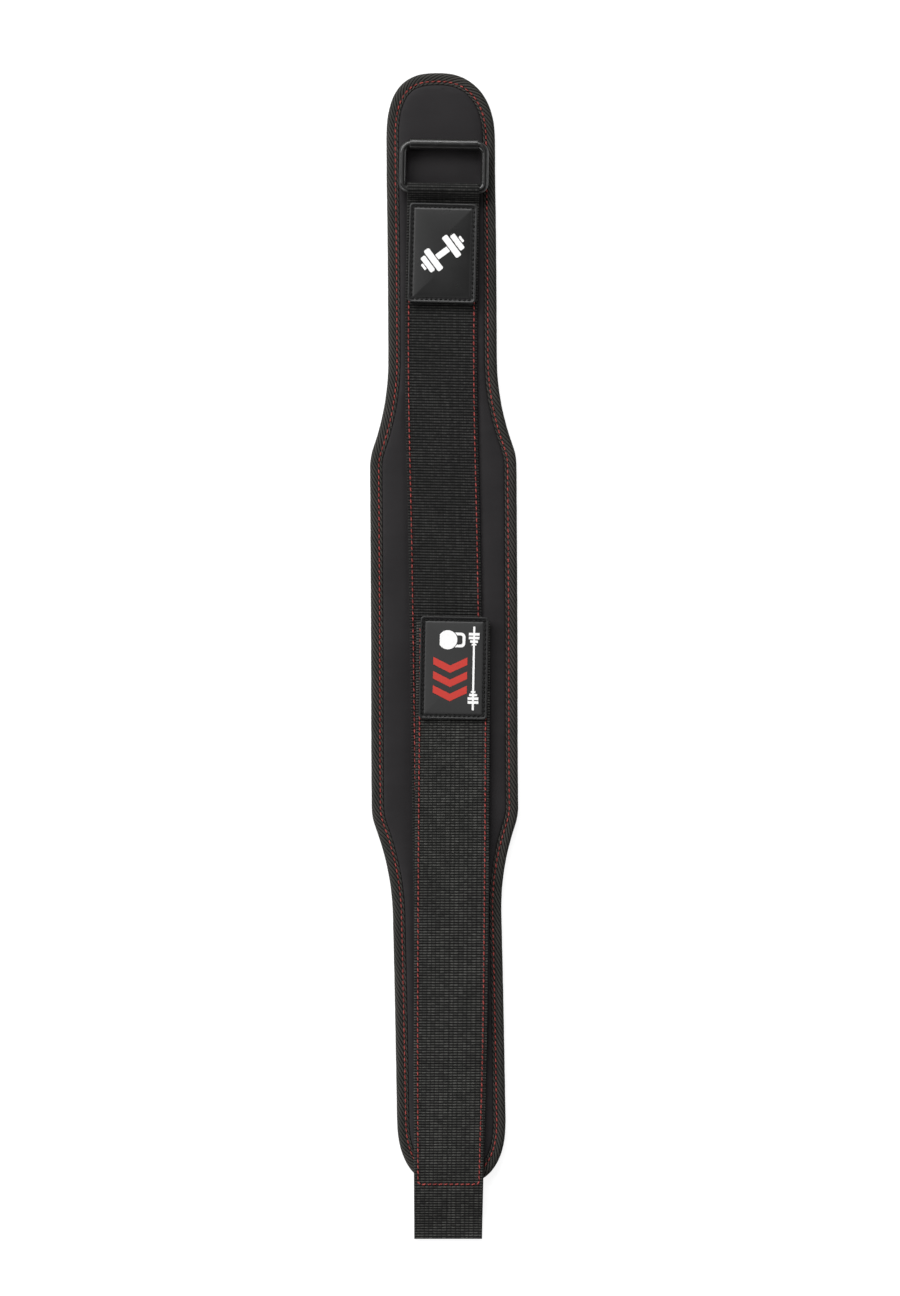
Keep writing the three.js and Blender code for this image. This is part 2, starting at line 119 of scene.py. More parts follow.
# Moulded labels: rim, stitching groove and raised panel
LABEL_THICKNESS = 0.002
LABEL_CORNER = 0.0026
LABEL_RIM = 0.0015
LABEL_GROOVE = 0.002
LABEL_GROOVE_DEPTH = 0.00045
LABEL_BEVEL = 0.0014
LABEL_CROWN = 0.00045
PRINT_HEIGHT = 0.00008
PRINT_SINK = 0.0002
UPPER_LABEL_BELOW_BAR = 0.0443
UPPER_LABEL = {"x": 0.0012, "width": 0.0472, "length": 0.069, "turn": math.radians(-2.1)}
LOWER_LABEL = {"x": 0.0054, "y": -0.0267, "width": 0.0474, "length": 0.0713, "turn": math.radians(-1.8)}

# Sewing threads
RED_STITCH = {"pitch": 0.0041, "length": 0.0038, "radius": 0.00044, "yaw": math.radians(7)}
STRAP_STITCH = {"pitch": 0.0038, "length": 0.0036, "radius": 0.00046, "yaw": math.radians(9)}
BLACK_STITCH = {"pitch": 0.0033, "length": 0.0025, "radius": 0.00046, "yaw": math.radians(5)}
STITCH_SINK = 0.00012
BACK_STITCH_SINK = 0.00008
BINDING_STITCH_SINK = 0.00058
BINDING_BACK_STITCH_Z = 0.0007
BINDING_STITCH_INSET = 0.006
WEBBING_STITCH_INSET = 0.0023
STRAP_STITCH_INSET = 0.0029
STRAP_CROSS_ROW_FROM_TIP = 0.039
STRAP_CROSS_ROW_CORNER = 0.0025

GAP = 0.0003
SIDE_GAP = 0.0004

# How far the middle line of the lying pad strays sideways
# at counts in half pad lengths from its middle, shift in panel widths
PAD_BOW = [
    {"at": 1, "shift": -0.018},
    {"at": 0.95, "shift": 0},
    {"at": 0.79, "shift": 0.007},
    {"at": 0.41, "shift": 0.001},
    {"at": 0, "shift": -0.009},
    {"at": -0.31, "shift": -0.019},
    {"at": -0.67, "shift": -0.007},
    {"at": -1, "shift": 0},
]

# Middle line of the base webbing below the buckle
# down counts in pad lengths below the lower bar, shift in webbing widths
WEBBING_BOW = [
    {"down": 0, "shift": 0},
    {"down": 0.152, "shift": -0.06},
    {"down": 0.324, "shift": -0.045},
    {"down": 0.585, "shift": -0.038},
    {"down": 1, "shift": -0.038},
]

# The strap from its hidden upper end to its tip
# at counts in strap lengths, shift and width in webbing widths
STRAP_COURSE = [
    {"at": 0, "shift": 0.108, "width": 1.024},
    {"at": 0.42, "shift": 0.039, "width": 1.036},
    {"at": 0.71, "shift": -0.012, "width": 1.014},
    {"at": 0.87, "shift": -0.046, "width": 0.972},
    {"at": 1, "shift": -0.07, "width": 0.944},
]

# How the strap's end sinks from the rim of the pad to the floor
# out counts in shares of the way outwards, up in shares of the drop
STRAP_DROOP = [
    {"out": 0, "up": 1},
    {"out": 0.14, "up": 0.95},
    {"out": 0.34, "up": 0.72},
    {"out": 0.62, "up": 0.32},
    {"out": 0.84, "up": 0.08},
    {"out": 1, "up": 0},
]

# One twill cord of the binding and one rib of the webbing
# at counts in pitches, height in shares of the relief
TWILL_CORD = [
    {"at": 0, "height": 0},
    {"at": 0.13, "height": 0.3},
    {"at": 0.31, "height": 1},
    {"at": 0.5, "height": 0.75},
    {"at": 0.69, "height": 1},
    {"at": 0.87, "height": 0.3},
]
WEBBING_RIB = [
    {"at": 0, "height": 0},
    {"at": 0.16, "height": 0.72},
    {"at": 0.38, "height": 1},
    {"at": 0.62, "height": 1},
    {"at": 0.84, "height": 0.72},
]

# Places worked out from the sizes above
BAR_Y = PAD_LENGTH / 2 - BAR_FROM_PAD_END
WEBBING_END_Y = WEBBING_END_INSET - PAD_LENGTH / 2
STRAP_TIP_Y = -PAD_LENGTH / 2 - STRAP_OVERHANG
UPPER_LABEL["y"] = BAR_Y - UPPER_LABEL_BELOW_BAR
WIRE_RADIUS = WIRE_DIAMETER / 2
ROLLER_RADIUS = ROLLER_DIAMETER / 2
FOLD_RADIUS = WIRE_RADIUS + GAP + WEBBING_THICKNESS / 2
WEBBING_Z = FOAM_THICKNESS + GAP + WEBBING_THICKNESS / 2
TAIL_Z = WEBBING_Z + WEBBING_THICKNESS + GAP
BAR_Z = WEBBING_Z + FOLD_RADIUS
TAIL_TOP = TAIL_Z + WEBBING_THICKNESS / 2
STRAP_TOP = WEBBING_Z + WEBBING_THICKNESS / 2 + GAP + STRAP_THICKNESS
UPPER_LABEL["z"] = TAIL_TOP + GAP
LOWER_LABEL["z"] = STRAP_TOP + GAP
STRAP_START_Y = LOWER_LABEL["y"] + LOWER_LABEL["length"] / 2 - LABEL_RIM - LABEL_GROOVE
TAIL_END_Y = UPPER_LABEL["y"] - UPPER_LABEL["length"] / 2 + LABEL_RIM
PAD_INSET = BINDING_FLANGE + SIDE_GAP
PAD_SHOULDER = PAD_INSET + FOAM_RIM_RISE
LABEL_STITCH_INSET = LABEL_RIM + LABEL_GROOVE / 2
BACK_STITCH_Z = BACK_PINCH - BACK_STITCH_SINK

HINGE = next(joint for joint in frame["joints"] if joint["name"] == "buckle_hinge")
ORIGIN = np.array([HINGE["pos_m"][0] - BAR_X, HINGE["pos_m"][1] - BAR_Y, 0])
RANDOM = np.random.default_rng(11)


# Curves and meshes


def column(rows, name):
    return np.array([row[name] for row in rows], float)


def smooth_curve(rows, key, name):
    """A smooth function through the rows of a table, level beyond its ends."""
    ordered = sorted(rows, key=lambda row: row[key])
    places, values = column(ordered, key), column(ordered, name)
    slopes = np.gradient(values, places)

    def value(at):
        at = np.clip(at, places[0], places[-1])
        i = np.clip(np.searchsorted(places, at) - 1, 0, len(places) - 2)
        step = places[i + 1] - places[i]
        t = (at - places[i]) / step
        start = values[i] * (1 + 2 * t) * (1 - t) ** 2 + slopes[i] * step * t * (1 - t) ** 2
        end = values[i + 1] * (3 - 2 * t) * t**2 - slopes[i + 1] * step * t**2 * (1 - t)
        return start + end

    return value


pad_bow = smooth_curve(PAD_BOW, "at", "shift")
webbing_bow = smooth_curve(WEBBING_BOW, "down", "shift")
strap_shift = smooth_curve(STRAP_COURSE, "at", "shift")
strap_width_share = smooth_curve(STRAP_COURSE, "at", "width")


def pad_middle_x(y):
    return PANEL_WIDTH * pad_bow(y / (PAD_LENGTH / 2))


def webbing_middle_x(y):
    return BAR_X + WEBBING_WIDTH * webbing_bow((BAR_Y - y) / PAD_LENGTH)


def strap_share(y):
    return (STRAP_START_Y - y) / (STRAP_START_Y - STRAP_TIP_Y)


def strap_middle_x(y):
    return WEBBING_WIDTH * strap_shift(strap_share(y))


def strap_width(y):
    return WEBBING_WIDTH * strap_width_share(strap_share(y))


def lengths_along(line):
    """How far along a line of points each of them lies."""
    steps = np.linalg.norm(np.diff(line, axis=0), axis=1)
    return np.concatenate([[0], np.cumsum(steps)])


def points_at(line, marks, at):
    """Places on a line of points, whose own lengths along it are its marks."""
    return np.column_stack([np.interp(at, marks, values) for values in line.T])


def rotated(points, angle):
    """Points in plan, turned counter-clockwise."""
    cos, sin = math.cos(angle), math.sin(angle)
    x, y = points[..., 0], points[..., 1]
    return np.stack([x * cos - y * sin, x * sin + y * cos], -1)


def whole_turn(steps):
    return np.linspace(0, 2 * math.pi, steps, endpoint=False)


def grid_faces(rows, columns, rows_close=False, columns_close=False):
    """Quads between neighbouring points of a grid, whose points are counted row by row."""
    i = np.arange(rows if rows_close else rows - 1)[:, None]
    j = np.arange(columns if columns_close else columns - 1)[None, :]
    next_i = (i + 1) % rows
    next_j = (j + 1) % columns
    corners = (i * columns + j, i * columns + next_j, next_i * columns + next_j, next_i * columns + j)
    return np.stack(corners, axis=-1).reshape(-1, 4)


def capped_tube(rows, around):
    """Faces of a tube, from its rings of points, with both ends closed."""
    first = list(range(around))
    last = [(rows - 1) * around + i for i in first]
    return grid_faces(rows, around, columns_close=True).tolist() + [first[::-1], last]


def turn_outwards(mesh):
    """Flips a closed mesh whose faces point in."""
    mesh.calc_loop_triangles()
    corners = np.empty(len(mesh.loop_triangles) * 3, np.int32)
    mesh.loop_triangles.foreach_get("vertices", corners)
    places = np.empty(len(mesh.vertices) * 3)
    mesh.vertices.foreach_get("co", places)
    a, b, c = places.reshape(-1, 3)[corners.reshape(-1, 3)].transpose(1, 0, 2)
    if np.einsum("ij,ij->", a, np.cross(b, c)) < 0:
        mesh.flip_normals()


def make_piece(name, points, faces, material, body="belt", stands_for=(), lay=None, crease=None):
    """A piece from points in belt coordinates, which moves with a CAD body.
    lay is a vector for each point, which its material reads, and crease the angle of its hard edges."""
    mesh = bpy.data.meshes.new(name)
    places = (np.reshape(points, (-1, 3)) + ORIGIN).tolist()
    mesh.from_pydata(places, [], [list(map(int, face)) for face in faces])
    turn_outwards(mesh)
    mesh.shade_smooth()
    if crease is not None:
        mesh.set_sharp_from_angle(angle=crease)
    if lay is not None:
        attribute = mesh.attributes.new("lay", "FLOAT_VECTOR", "POINT")
        attribute.data.foreach_set("vector", np.asarray(lay, np.float32).ravel())
    mesh.materials.append(material)
    piece = bpy.data.objects.new(name, mesh)
    bpy.context.scene.collection.objects.link(piece)
    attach(piece, body)
    if stands_for:
        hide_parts(*stands_for)
    return piece


# Outline of the pad


def flare_half_width(beyond):
    """Half the pad's width at a distance beyond the straight sides of the panel."""
    rise = (PANEL_WIDTH - ARM_WIDTH) / 2
    arc_rise = (FLARE_HOLLOW_RADIUS + FLARE_SHOULDER_RADIUS) * (1 - math.cos(FLARE_SLOPE))
    shoulder = FLARE_SHOULDER_RADIUS * math.sin(FLARE_SLOPE)
    hollow = FLARE_HOLLOW_RADIUS * math.sin(FLARE_SLOPE)
    straight = (rise - arc_rise) / math.tan(FLARE_SLOPE)
    on_shoulder = np.clip(beyond, 0, shoulder)
    on_hollow = np.clip(shoulder + straight + hollow - beyond, 0, hollow)
    on_slope = np.clip(beyond - shoulder, 0, straight)
    dropped = FLARE_SHOULDER_RADIUS - np.sqrt(FLARE_SHOULDER_RADIUS**2 - on_shoulder**2)
    lifted = FLARE_HOLLOW_RADIUS - np.sqrt(FLARE_HOLLOW_RADIUS**2 - on_hollow**2)
    in_hollow = beyond >= shoulder + straight
    return np.where(
        in_hollow,
        ARM_WIDTH / 2 + lifted,
        PANEL_WIDTH / 2 - dropped - on_slope * math.tan(FLARE_SLOPE),
    )


def outline_stations(cap_steps, step):
    """Half the outline from the buckle end to the far end, as y and half width."""
    angle = np.linspace(0, math.pi / 2, cap_steps + 1)
    cap_half = ARM_WIDTH / 2 * np.sin(angle) ** (2 / END_CAP_POWER)
    cap_depth = END_CAP_DEPTH * (1 - np.cos(angle).clip(0) ** (2 / END_CAP_POWER))
    cap_y = PAD_LENGTH / 2 - END_CAP_DEPTH
    sides = np.linspace(cap_y, -cap_y, round(2 * cap_y / step) + 1)[1:-1]
    sides_half = flare_half_width(abs(sides - PANEL_MIDDLE_Y) - PANEL_LENGTH / 2)
    y = np.concatenate([PAD_LENGTH / 2 - cap_depth, sides, (cap_depth - PAD_LENGTH / 2)[::-1]])
    half = np.concatenate([cap_half, sides_half, cap_half[::-1]])
    return y, half


def outline_loop(y, half):
    """The closed outline, down the right side from the buckle end and up the left side."""
    right = np.column_stack([pad_middle_x(y) + half, y])
    left = np.column_stack([pad_middle_x(y) - half, y])[1:-1][::-1]
    return np.concatenate([right, left])


def inward_normals(loop):
    along = np.roll(loop, -1, axis=0) - np.roll(loop, 1, axis=0)
    along /= np.linalg.norm(along, axis=1)[:, None]
    return np.column_stack([along[:, 1], -along[:, 0]])


class Course:
    """A closed line that gives its points and inward normals at lengths along it."""

    def __init__(self, loop):
        closed = np.concatenate([loop, loop[:1]])
        self.marks = lengths_along(closed)
        self.length = self.marks[-1]
        normals = inward_normals(loop)
        self.table = np.column_stack([closed, np.concatenate([normals, normals[:1]])])

    def at(self, length):
        length = np.mod(length, self.length)
        x, y, nx, ny = (np.interp(length, self.marks, values) for values in self.table.T)
        size = np.hypot(nx, ny)
        return np.stack([x, y], -1), np.stack([nx / size, ny / size], -1)


def distance_to_line(points, line):
    """Least distance of each point to the corners of a finely cut line."""
    return np.array([np.hypot(*(line - point).T).min() for point in points])


outline_y, outline_half = outline_stations(cap_steps=90, step=0.001)
OUTLINE = outline_loop(outline_y, outline_half)
RIM = Course(OUTLINE)


# Pad


def wander(at, pitch):
    """A gentle wave without a plain rhythm, between about -1 and 1."""
    turns = 2 * math.pi * at / pitch
    return (np.sin(turns) + 0.7 * np.sin(1.63 * turns + 1.1) + 0.5 * np.sin(2.71 * turns + 2.3)) / 2.2


def past_webbing(x, y):
    """How far a place lies beside or beyond the base webbing, below 0 under it."""
    beyond_end = np.maximum(WEBBING_END_Y - y, y - (BAR_Y + FOLD_RADIUS + WEBBING_THICKNESS))
    beside = abs(x - webbing_middle_x(y)) - WEBBING_WIDTH / 2 - SIDE_GAP
    return np.maximum(beside, beyond_end)


def pad_face_z(x, y, inset):
    """Height of the neoprene: low under the tape, up to its shoulder, and a crown beside the webbing."""
    rise = np.clip((inset - BINDING_FLANGE) / (PAD_SHOULDER - BINDING_FLANGE), 0, 1)
    under_tape = BINDING_HEIGHT - TAPE_THICKNESS - GAP
    base = under_tape + (FOAM_THICKNESS - under_tape) * np.sin(rise * math.pi / 2)
    from_webbing = past_webbing(x, y)
    free = np.clip(np.minimum(inset - PAD_SHOULDER, from_webbing), 0, None)
    crown = FOAM_CROWN * (1 - np.exp(-free / FOAM_CROWN_REACH))
    by_rim = np.exp(-np.clip(inset - PAD_SHOULDER, 0, None) / RIM_PUCKER["reach"]) * (inset > BINDING_FLANGE)
    by_webbing = np.exp(-np.clip(from_webbing, 0, None) / WEBBING_PUCKER["reach"]) * (from_webbing > 0)
    side = np.sign(x - webbing_middle_x(y))
    pucker = RIM_PUCKER["height"] * by_rim * wander(y + 0.013 * side, RIM_PUCKER["wave"])
    pucker += WEBBING_PUCKER["height"] * by_webbing * wander(y + 0.03 * side, WEBBING_PUCKER["wave"])
    wave = PAD_WAVE["height"] * wander(y + 0.4 * x, PAD_WAVE["wave"])
    return base + crown + pucker + wave * np.clip(free / PAD_WAVE["reach"], 0, 1)


def from_label_stitches(label, x, y):
    """Distance of places from the line of stitches round a label."""
    from_middle = np.column_stack([x - label["x"], y - label["y"]])
    across, along = rotated(from_middle, -label["turn"]).T
    beyond_x = abs(across) - (label["width"] / 2 - LABEL_STITCH_INSET)
    beyond_y = abs(along) - (label["length"] / 2 - LABEL_STITCH_INSET)
    outside = np.hypot(np.clip(beyond_x, 0, None), np.clip(beyond_y, 0, None))
    return np.where((beyond_x < 0) & (beyond_y < 0), np.minimum(-beyond_x, -beyond_y), outside)


def pad_back_z(x, y, inset):
    """The back lies on the floor, pinched up along the seams."""
    from_line = abs(abs(x - webbing_middle_x(y)) - (WEBBING_WIDTH / 2 - WEBBING_STITCH_INSET))
    from_line = np.hypot(from_line, np.clip(WEBBING_END_Y - y, 0, None))
    from_line = np.where(y > TAIL_END_Y, np.hypot(from_line, y - TAIL_END_Y), from_line)
    seams = [
        np.clip(inset - PAD_INSET, 0, None),
        from_line,
        from_label_stitches(UPPER_LABEL, x, y),
        from_label_stitches(LOWER_LABEL, x, y),
    ]
    nearest = np.minimum.reduce(seams)
    sunk = np.clip((PAD_INSET - inset) / 0.0006, 0, 1)
    pinched = BACK_PINCH * np.exp(-((nearest / BACK_PINCH_REACH) ** 2))
    return np.maximum(pinched, sunk * (TAPE_THICKNESS + GAP))


def pad_rows(ring_right, ring_left):
    """Points across the pad between the two sides of its innermost ring, close at the webbing's edges."""
    x_from, x_to = ring_left[:, 0], ring_right[:, 0]
    room = x_to - x_from
    channel = WEBBING_WIDTH / 2 + SIDE_GAP
    middle = webbing_middle_x(ring_left[:, 1])
    left_wall = np.clip(middle - channel, x_from + 0.08 * room, x_to - 0.3 * room)
    right_wall = np.clip(middle + channel, x_from + 0.3 * room, x_to - 0.08 * room)
    outer_shares = 1 - (1 - np.linspace(0, 1, 8)[1:]) ** 1.6
    inner_shares = (0.045, 0.1, 0.2, 0.33, 0.5, 0.67, 0.8, 0.9, 0.955)
    left = [x_from + share * (left_wall - x_from) for share in outer_shares]
    under = [left_wall + share * (right_wall - left_wall) for share in inner_shares]
    right = [x_to + share * (right_wall - x_to) for share in outer_shares[::-1]]
    x = np.column_stack(left + under + right)
    share = (x - x_from[:, None]) / room[:, None]
    y = ring_left[:, 1:] + share * (ring_right[:, 1:] - ring_left[:, 1:])
    return np.stack([x, y], -1)


def pad_plan():
    """Points, insets and faces of the pad in plan, and how many points its outermost ring has."""
    y, half = outline_stations(cap_steps=44, step=0.0018)
    loop = outline_loop(y, half)
    normals = inward_normals(loop)
    insets = np.array([0.0012, 0.0045, 0.0078, 0.0082, 0.0086, 0.0091, 0.0096, 0.0102, 0.0112])
    rings = loop[None] + insets[:, None, None] * normals[None]
    around = len(loop)
    last = len(y) - 1
    places = np.arange(1, last)
    rows = pad_rows(rings[-1][places], rings[-1][around - places])
    faces = grid_faces(len(insets), around, columns_close=True).tolist()
    inner = (len(insets) - 1) * around
    start = len(insets) * around
    wide = rows.shape[1]
    numbers = start + np.arange(len(places) * wide).reshape(len(places), wide)
    table = np.column_stack([inner + around - places, numbers, inner + places])
    faces += table.ravel()[grid_faces(*table.shape)].tolist()
    for row, tip in ((table[0], inner), (table[-1], inner + last)):
        faces += [[tip, a, b] for a, b in zip(row[:-1], row[1:])]
    points = np.concatenate([rings.reshape(-1, 2), rows.reshape(-1, 2)])
    row_points = rows.reshape(-1, 2)
    inset = np.concatenate([np.repeat(insets, around), distance_to_line(row_points, OUTLINE)])
    return points, inset, faces, around


def double_area(points, face):
    """Twice a face's area in plan, above 0 if it is counted counter-clockwise as seen from above."""
    x, y = points[face].T
    return np.dot(x, np.roll(y, -1)) - np.dot(y, np.roll(x, -1))


def consistent(points, faces):
    """The same faces, each counted counter-clockwise as seen from above."""
    return [face if double_area(points, face) > 0 else face[::-1] for face in faces]


def make_pad(material):
    plan, inset, faces, around = pad_plan()
    faces = consistent(plan, faces)
    x, y = plan.T
    face_z = pad_face_z(x, y, inset)
    back_z = pad_back_z(x, y, inset)
    count = len(plan)
    points = np.concatenate([np.column_stack([plan, face_z]), np.column_stack([plan, back_z])])
    back = [[corner + count for corner in face[::-1]] for face in faces]
    rim = np.arange(around)
    after = (rim + 1) % around
    wall = np.column_stack([rim, after, after + count, rim + count]).tolist()
    pad = make_piece("pad_cover", points, faces + back + wall, material, stands_for=["pad"])


# Binding


def tape_section():
    """The tape's outer face from its edge on the pad round the rim to its edge on the back.
    Rows of inset, height and outward direction, with how far the twill stands out there."""
    flat = np.linspace(BINDING_FLANGE - 0.0003, RIM_SPREAD + 0.0004, 8)
    valley = 0.0004 * np.exp(-(((flat - BINDING_STITCH_INSET) / 0.0008) ** 2))
    edge = np.array([[BINDING_FLANGE, BINDING_HEIGHT - 0.0008], [BINDING_FLANGE, BINDING_HEIGHT - 0.0003]])
    top = np.concatenate([edge, np.column_stack([flat, BINDING_HEIGHT - 0.0001 - valley])])
    angle = np.linspace(math.pi / 2, 0, 7)
    sine = np.sin(angle) ** (2 / RIM_POWER)
    cosine = np.cos(angle).clip(0) ** (2 / RIM_POWER)
    bend = np.column_stack([RIM_SPREAD * (1 - cosine), BINDING_HEIGHT / 2 * (1 + sine)])
    upper = np.concatenate([top, bend])
    lower = upper[:-1][::-1] * [1, -1] + [0, BINDING_HEIGHT]
    section = np.concatenate([upper, lower])
    along = np.gradient(section, axis=0)
    along /= np.linalg.norm(along, axis=1)[:, None]
    outward = np.column_stack([along[:, 1], -along[:, 0]])
    relief = np.clip((BINDING_FLANGE + 0.0002 - section[:, 0]) / 0.0008, 0.15, 1)
    return section, outward, relief


def tape_lining():
    """The tape's hidden inner face, from its edge on the back to its edge on the pad."""
    near, far = TAPE_THICKNESS, BINDING_HEIGHT - TAPE_THICKNESS
    lower = [[BINDING_FLANGE - 0.0002, near], [0.002, near]]
    upper = [[0.002, far], [BINDING_FLANGE - 0.0002, far]]
    return np.array(lower + [[TAPE_THICKNESS, BINDING_HEIGHT / 2]] + upper)


def make_binding(material):
    section, outward, relief = tape_section()
    lining = tape_lining()
    across = lengths_along(section)
    cords = round(RIM.length / TWILL_PITCH)
    at = column(TWILL_CORD, "at")
    height = np.tile(column(TWILL_CORD, "height"), cords)
    starts = ((np.arange(cords)[:, None] + at[None]) * RIM.length / cords).ravel()
    along = starts[:, None] + across[None] / math.tan(TWILL_LEAN)
    cut = (1 - height)[:, None] * relief[None] * TWILL_DEPTH
    cut = cut + TAPE_WAVE["height"] * (1 + wander(along, TAPE_WAVE["wave"]))
    inset = section[None, :, 0] - (cut - TAPE_PROUD) * outward[None, :, 0]
    up = section[None, :, 1] - cut * outward[None, :, 1]
    place, normal = RIM.at(along)
    outer = np.dstack([place + normal * inset[..., None], up])
    inner_along = np.linspace(along[:, -1], along[:, 0], len(lining) + 2).T[:, 1:-1]
    place, normal = RIM.at(inner_along)
    inner_up = np.broadcast_to(lining[:, 1], inner_along.shape)
    inner = np.dstack([place + normal * lining[None, :, :1], inner_up])
    points = np.concatenate([outer, inner], axis=1)
    outer_lay = np.dstack(np.broadcast_arrays(along, across, height[:, None]))
    lay = np.concatenate([outer_lay, np.zeros_like(inner)], axis=1)
    faces = grid_faces(*points.shape[:2], rows_close=True, columns_close=True)
    make_piece("binding_tape", points, faces, material, stands_for=["binding"], lay=lay)


# Webbing and strap


def arc(centre, radius, from_angle, to_angle, steps):
    angle = np.linspace(from_angle, to_angle, steps + 1)
    return np.column_stack([centre[0] + radius * np.cos(angle), centre[1] + radius * np.sin(angle)])


def webbing_course():
    """Side view of the base webbing: along the pad, round the lower bar and back under the upper label."""
    fold = arc((BAR_Y, BAR_Z), FOLD_RADIUS, -math.pi / 2, math.pi / 2 + FOLD_SLOPE, 48)
    end_y, end_z = fold[-1]
    fillet_drop = FOLD_FILLET_RADIUS * (1 - math.cos(FOLD_SLOPE))
    slope_run = (end_z - TAIL_Z - fillet_drop) / math.tan(FOLD_SLOPE)
    land_y = end_y - slope_run - FOLD_FILLET_RADIUS * math.sin(FOLD_SLOPE)
    centre = (land_y, TAIL_Z + FOLD_FILLET_RADIUS)
    landing = arc(centre, FOLD_FILLET_RADIUS, FOLD_SLOPE - math.pi / 2, -math.pi / 2, 10)
    return np.concatenate([[[WEBBING_END_Y, WEBBING_Z]], fold, landing, [[TAIL_END_Y, TAIL_Z]]])


def strap_course():
    """Side view of the strap: over the webbing, down on the pad, over the binding and on to the floor."""
    half = STRAP_THICKNESS / 2
    on_webbing = WEBBING_Z + WEBBING_THICKNESS / 2 + GAP + half
    on_pad = FOAM_THICKNESS + FOAM_CROWN + GAP + half
    on_binding = max(BINDING_HEIGHT, FOAM_THICKNESS) + GAP + half
    pad_end = -PAD_LENGTH / 2
    reach = pad_end - STRAP_TIP_Y - STRAP_REST_LENGTH
    leave = WEBBING_END_Y - STRAP_STEP_LENGTH
    steps = [
        [STRAP_START_Y, on_webbing],
        [leave, on_webbing],
        [leave - STRAP_STEP_LENGTH, on_pad],
        [pad_end + PAD_SHOULDER + STRAP_STEP_LENGTH, on_pad],
        [pad_end + BINDING_FLANGE / 2, on_binding],
    ]
    droop = [[pad_end - reach * row["out"], half + (on_binding - half) * row["up"]] for row in STRAP_DROOP]
    corners = np.array(steps + droop + [[STRAP_TIP_Y, half]])
    y = np.linspace(STRAP_START_Y, STRAP_TIP_Y, 900)
    z = np.interp(-y, -corners[:, 0], corners[:, 1])
    spread = np.exp(-(np.linspace(-2, 2, 13) ** 2))
    eased = np.convolve(np.pad(z, 6, mode="edge"), spread / spread.sum(), mode="valid")
    return np.column_stack([y, np.maximum(eased, half)])


def ribbon_points(course, thickness, middle_x, width, turn, rib_pitch):
    """Rows of points round a ribbed ribbon, and for each point its place across, its rib and its height."""
    marks = lengths_along(course)
    ribs = round(marks[-1] / rib_pitch)
    rib = (np.arange(ribs)[:, None] + column(WEBBING_RIB, "at")[None]).ravel()
    height = np.tile(column(WEBBING_RIB, "height"), ribs)
    along = rib * marks[-1] / ribs
    y, z = points_at(course, marks, along).T
    ty, tz = points_at(np.gradient(course, marks, axis=0), marks, along).T
    size = np.hypot(ty, tz)
    wide = np.broadcast_to(width(y), y.shape)
    edge = np.array([0, 0.0001, 0.00035, 0.0008, 0.0016, 0.0026])
    inner = np.linspace(0.004, 0.5 * WEBBING_WIDTH, 6)[:-1]
    from_edge = np.concatenate([edge, inner])
    left_half = from_edge[None] - wide[:, None] / 2
    across = np.concatenate([left_half, -left_half[:, ::-1]], 1)
    inside = np.concatenate([from_edge, from_edge[::-1]])
    full = np.sqrt(1 - (1 - np.clip(inside / RIBBON_ROUNDING, 0, 1)) ** 2)
    past_selvedge = np.clip((inside - SELVEDGE_FROM) / (SELVEDGE_TO - SELVEDGE_FROM), 0, 1)
    relief = SELVEDGE_RELIEF + (1 - SELVEDGE_RELIEF) * past_selvedge
    face = thickness / 2 * full[None] - RIB_DEPTH * (1 - height)[:, None] * (relief * full)[None]
    face = face - RIBBON_WAVE["height"] * (1 - wander(along, RIBBON_WAVE["wave"]))[:, None] * relief[None]
    face = np.maximum(face, 0)
    both_across = np.concatenate([across, across[:, -2:0:-1]], 1)
    both_face = np.concatenate([face, -face[:, -2:0:-1]], 1)
    normal_y, normal_z = -tz / size, ty / size
    x = middle_x(y)[:, None] + both_across * math.cos(turn)
    rows_y = y[:, None] + both_across * math.sin(turn) + both_face * normal_y[:, None]
    rows_z = z[:, None] + both_face * normal_z[:, None]
    lay = np.dstack(np.broadcast_arrays(both_across, rib[:, None], height[:, None]))
    return np.dstack([x, rows_y, rows_z]), lay


def make_ribbon(name, material, node, course, thickness, middle_x, width, turn, rib_pitch):
    points, lay = ribbon_points(course, thickness, middle_x, width, turn, rib_pitch)
    faces = capped_tube(*points.shape[:2])
    make_piece(name, points, faces, material, stands_for=[node], lay=lay)


# Sewing


def make_stitches(name, centres, along, up, stitch, material):
    """Thread dashes, each an arch whose ends dive into the cloth. along and up are its directions."""
    count = len(centres)
    share = np.linspace(-1, 1, 7)
    angle = whole_turn(8)
    yaw = stitch["yaw"] * (1 + RANDOM.normal(0, 0.35, count))
    size = 1 + RANDOM.normal(0, 0.05, count)
    tone = RANDOM.uniform(0, 1, count)
    side = np.cross(up, along)
    forward = along * np.cos(yaw)[:, None] + side * np.sin(yaw)[:, None]
    sideways = np.cross(up, forward)
    length = stitch["length"] * size
    radius = stitch["radius"] * np.sqrt(1 - 0.75 * share**4)
    rise = stitch["radius"] * (0.55 - 1.5 * share**4)
    reach = (share[None] * length[:, None] / 2)[:, :, None, None] * forward[:, None, None]
    lift = (rise[:, None] + radius[:, None] * np.sin(angle))[None, :, :, None] * up[:, None, None]
    spread = (radius[:, None] * np.cos(angle))[None, :, :, None] * sideways[:, None, None]
    points = centres[:, None, None] + reach + lift + spread
    one = capped_tube(len(share), len(angle))
    per = len(share) * len(angle)
    faces = [[corner + i * per for corner in face] for i in range(count) for face in one]
    run = share[None, :, None] * length[:, None, None] / 2
    turn = angle[None, None] * np.ones_like(run)
    lay = np.stack(np.broadcast_arrays(run, turn, tone[:, None, None]), -1)
    make_piece(name, points, faces, material, lay=lay)


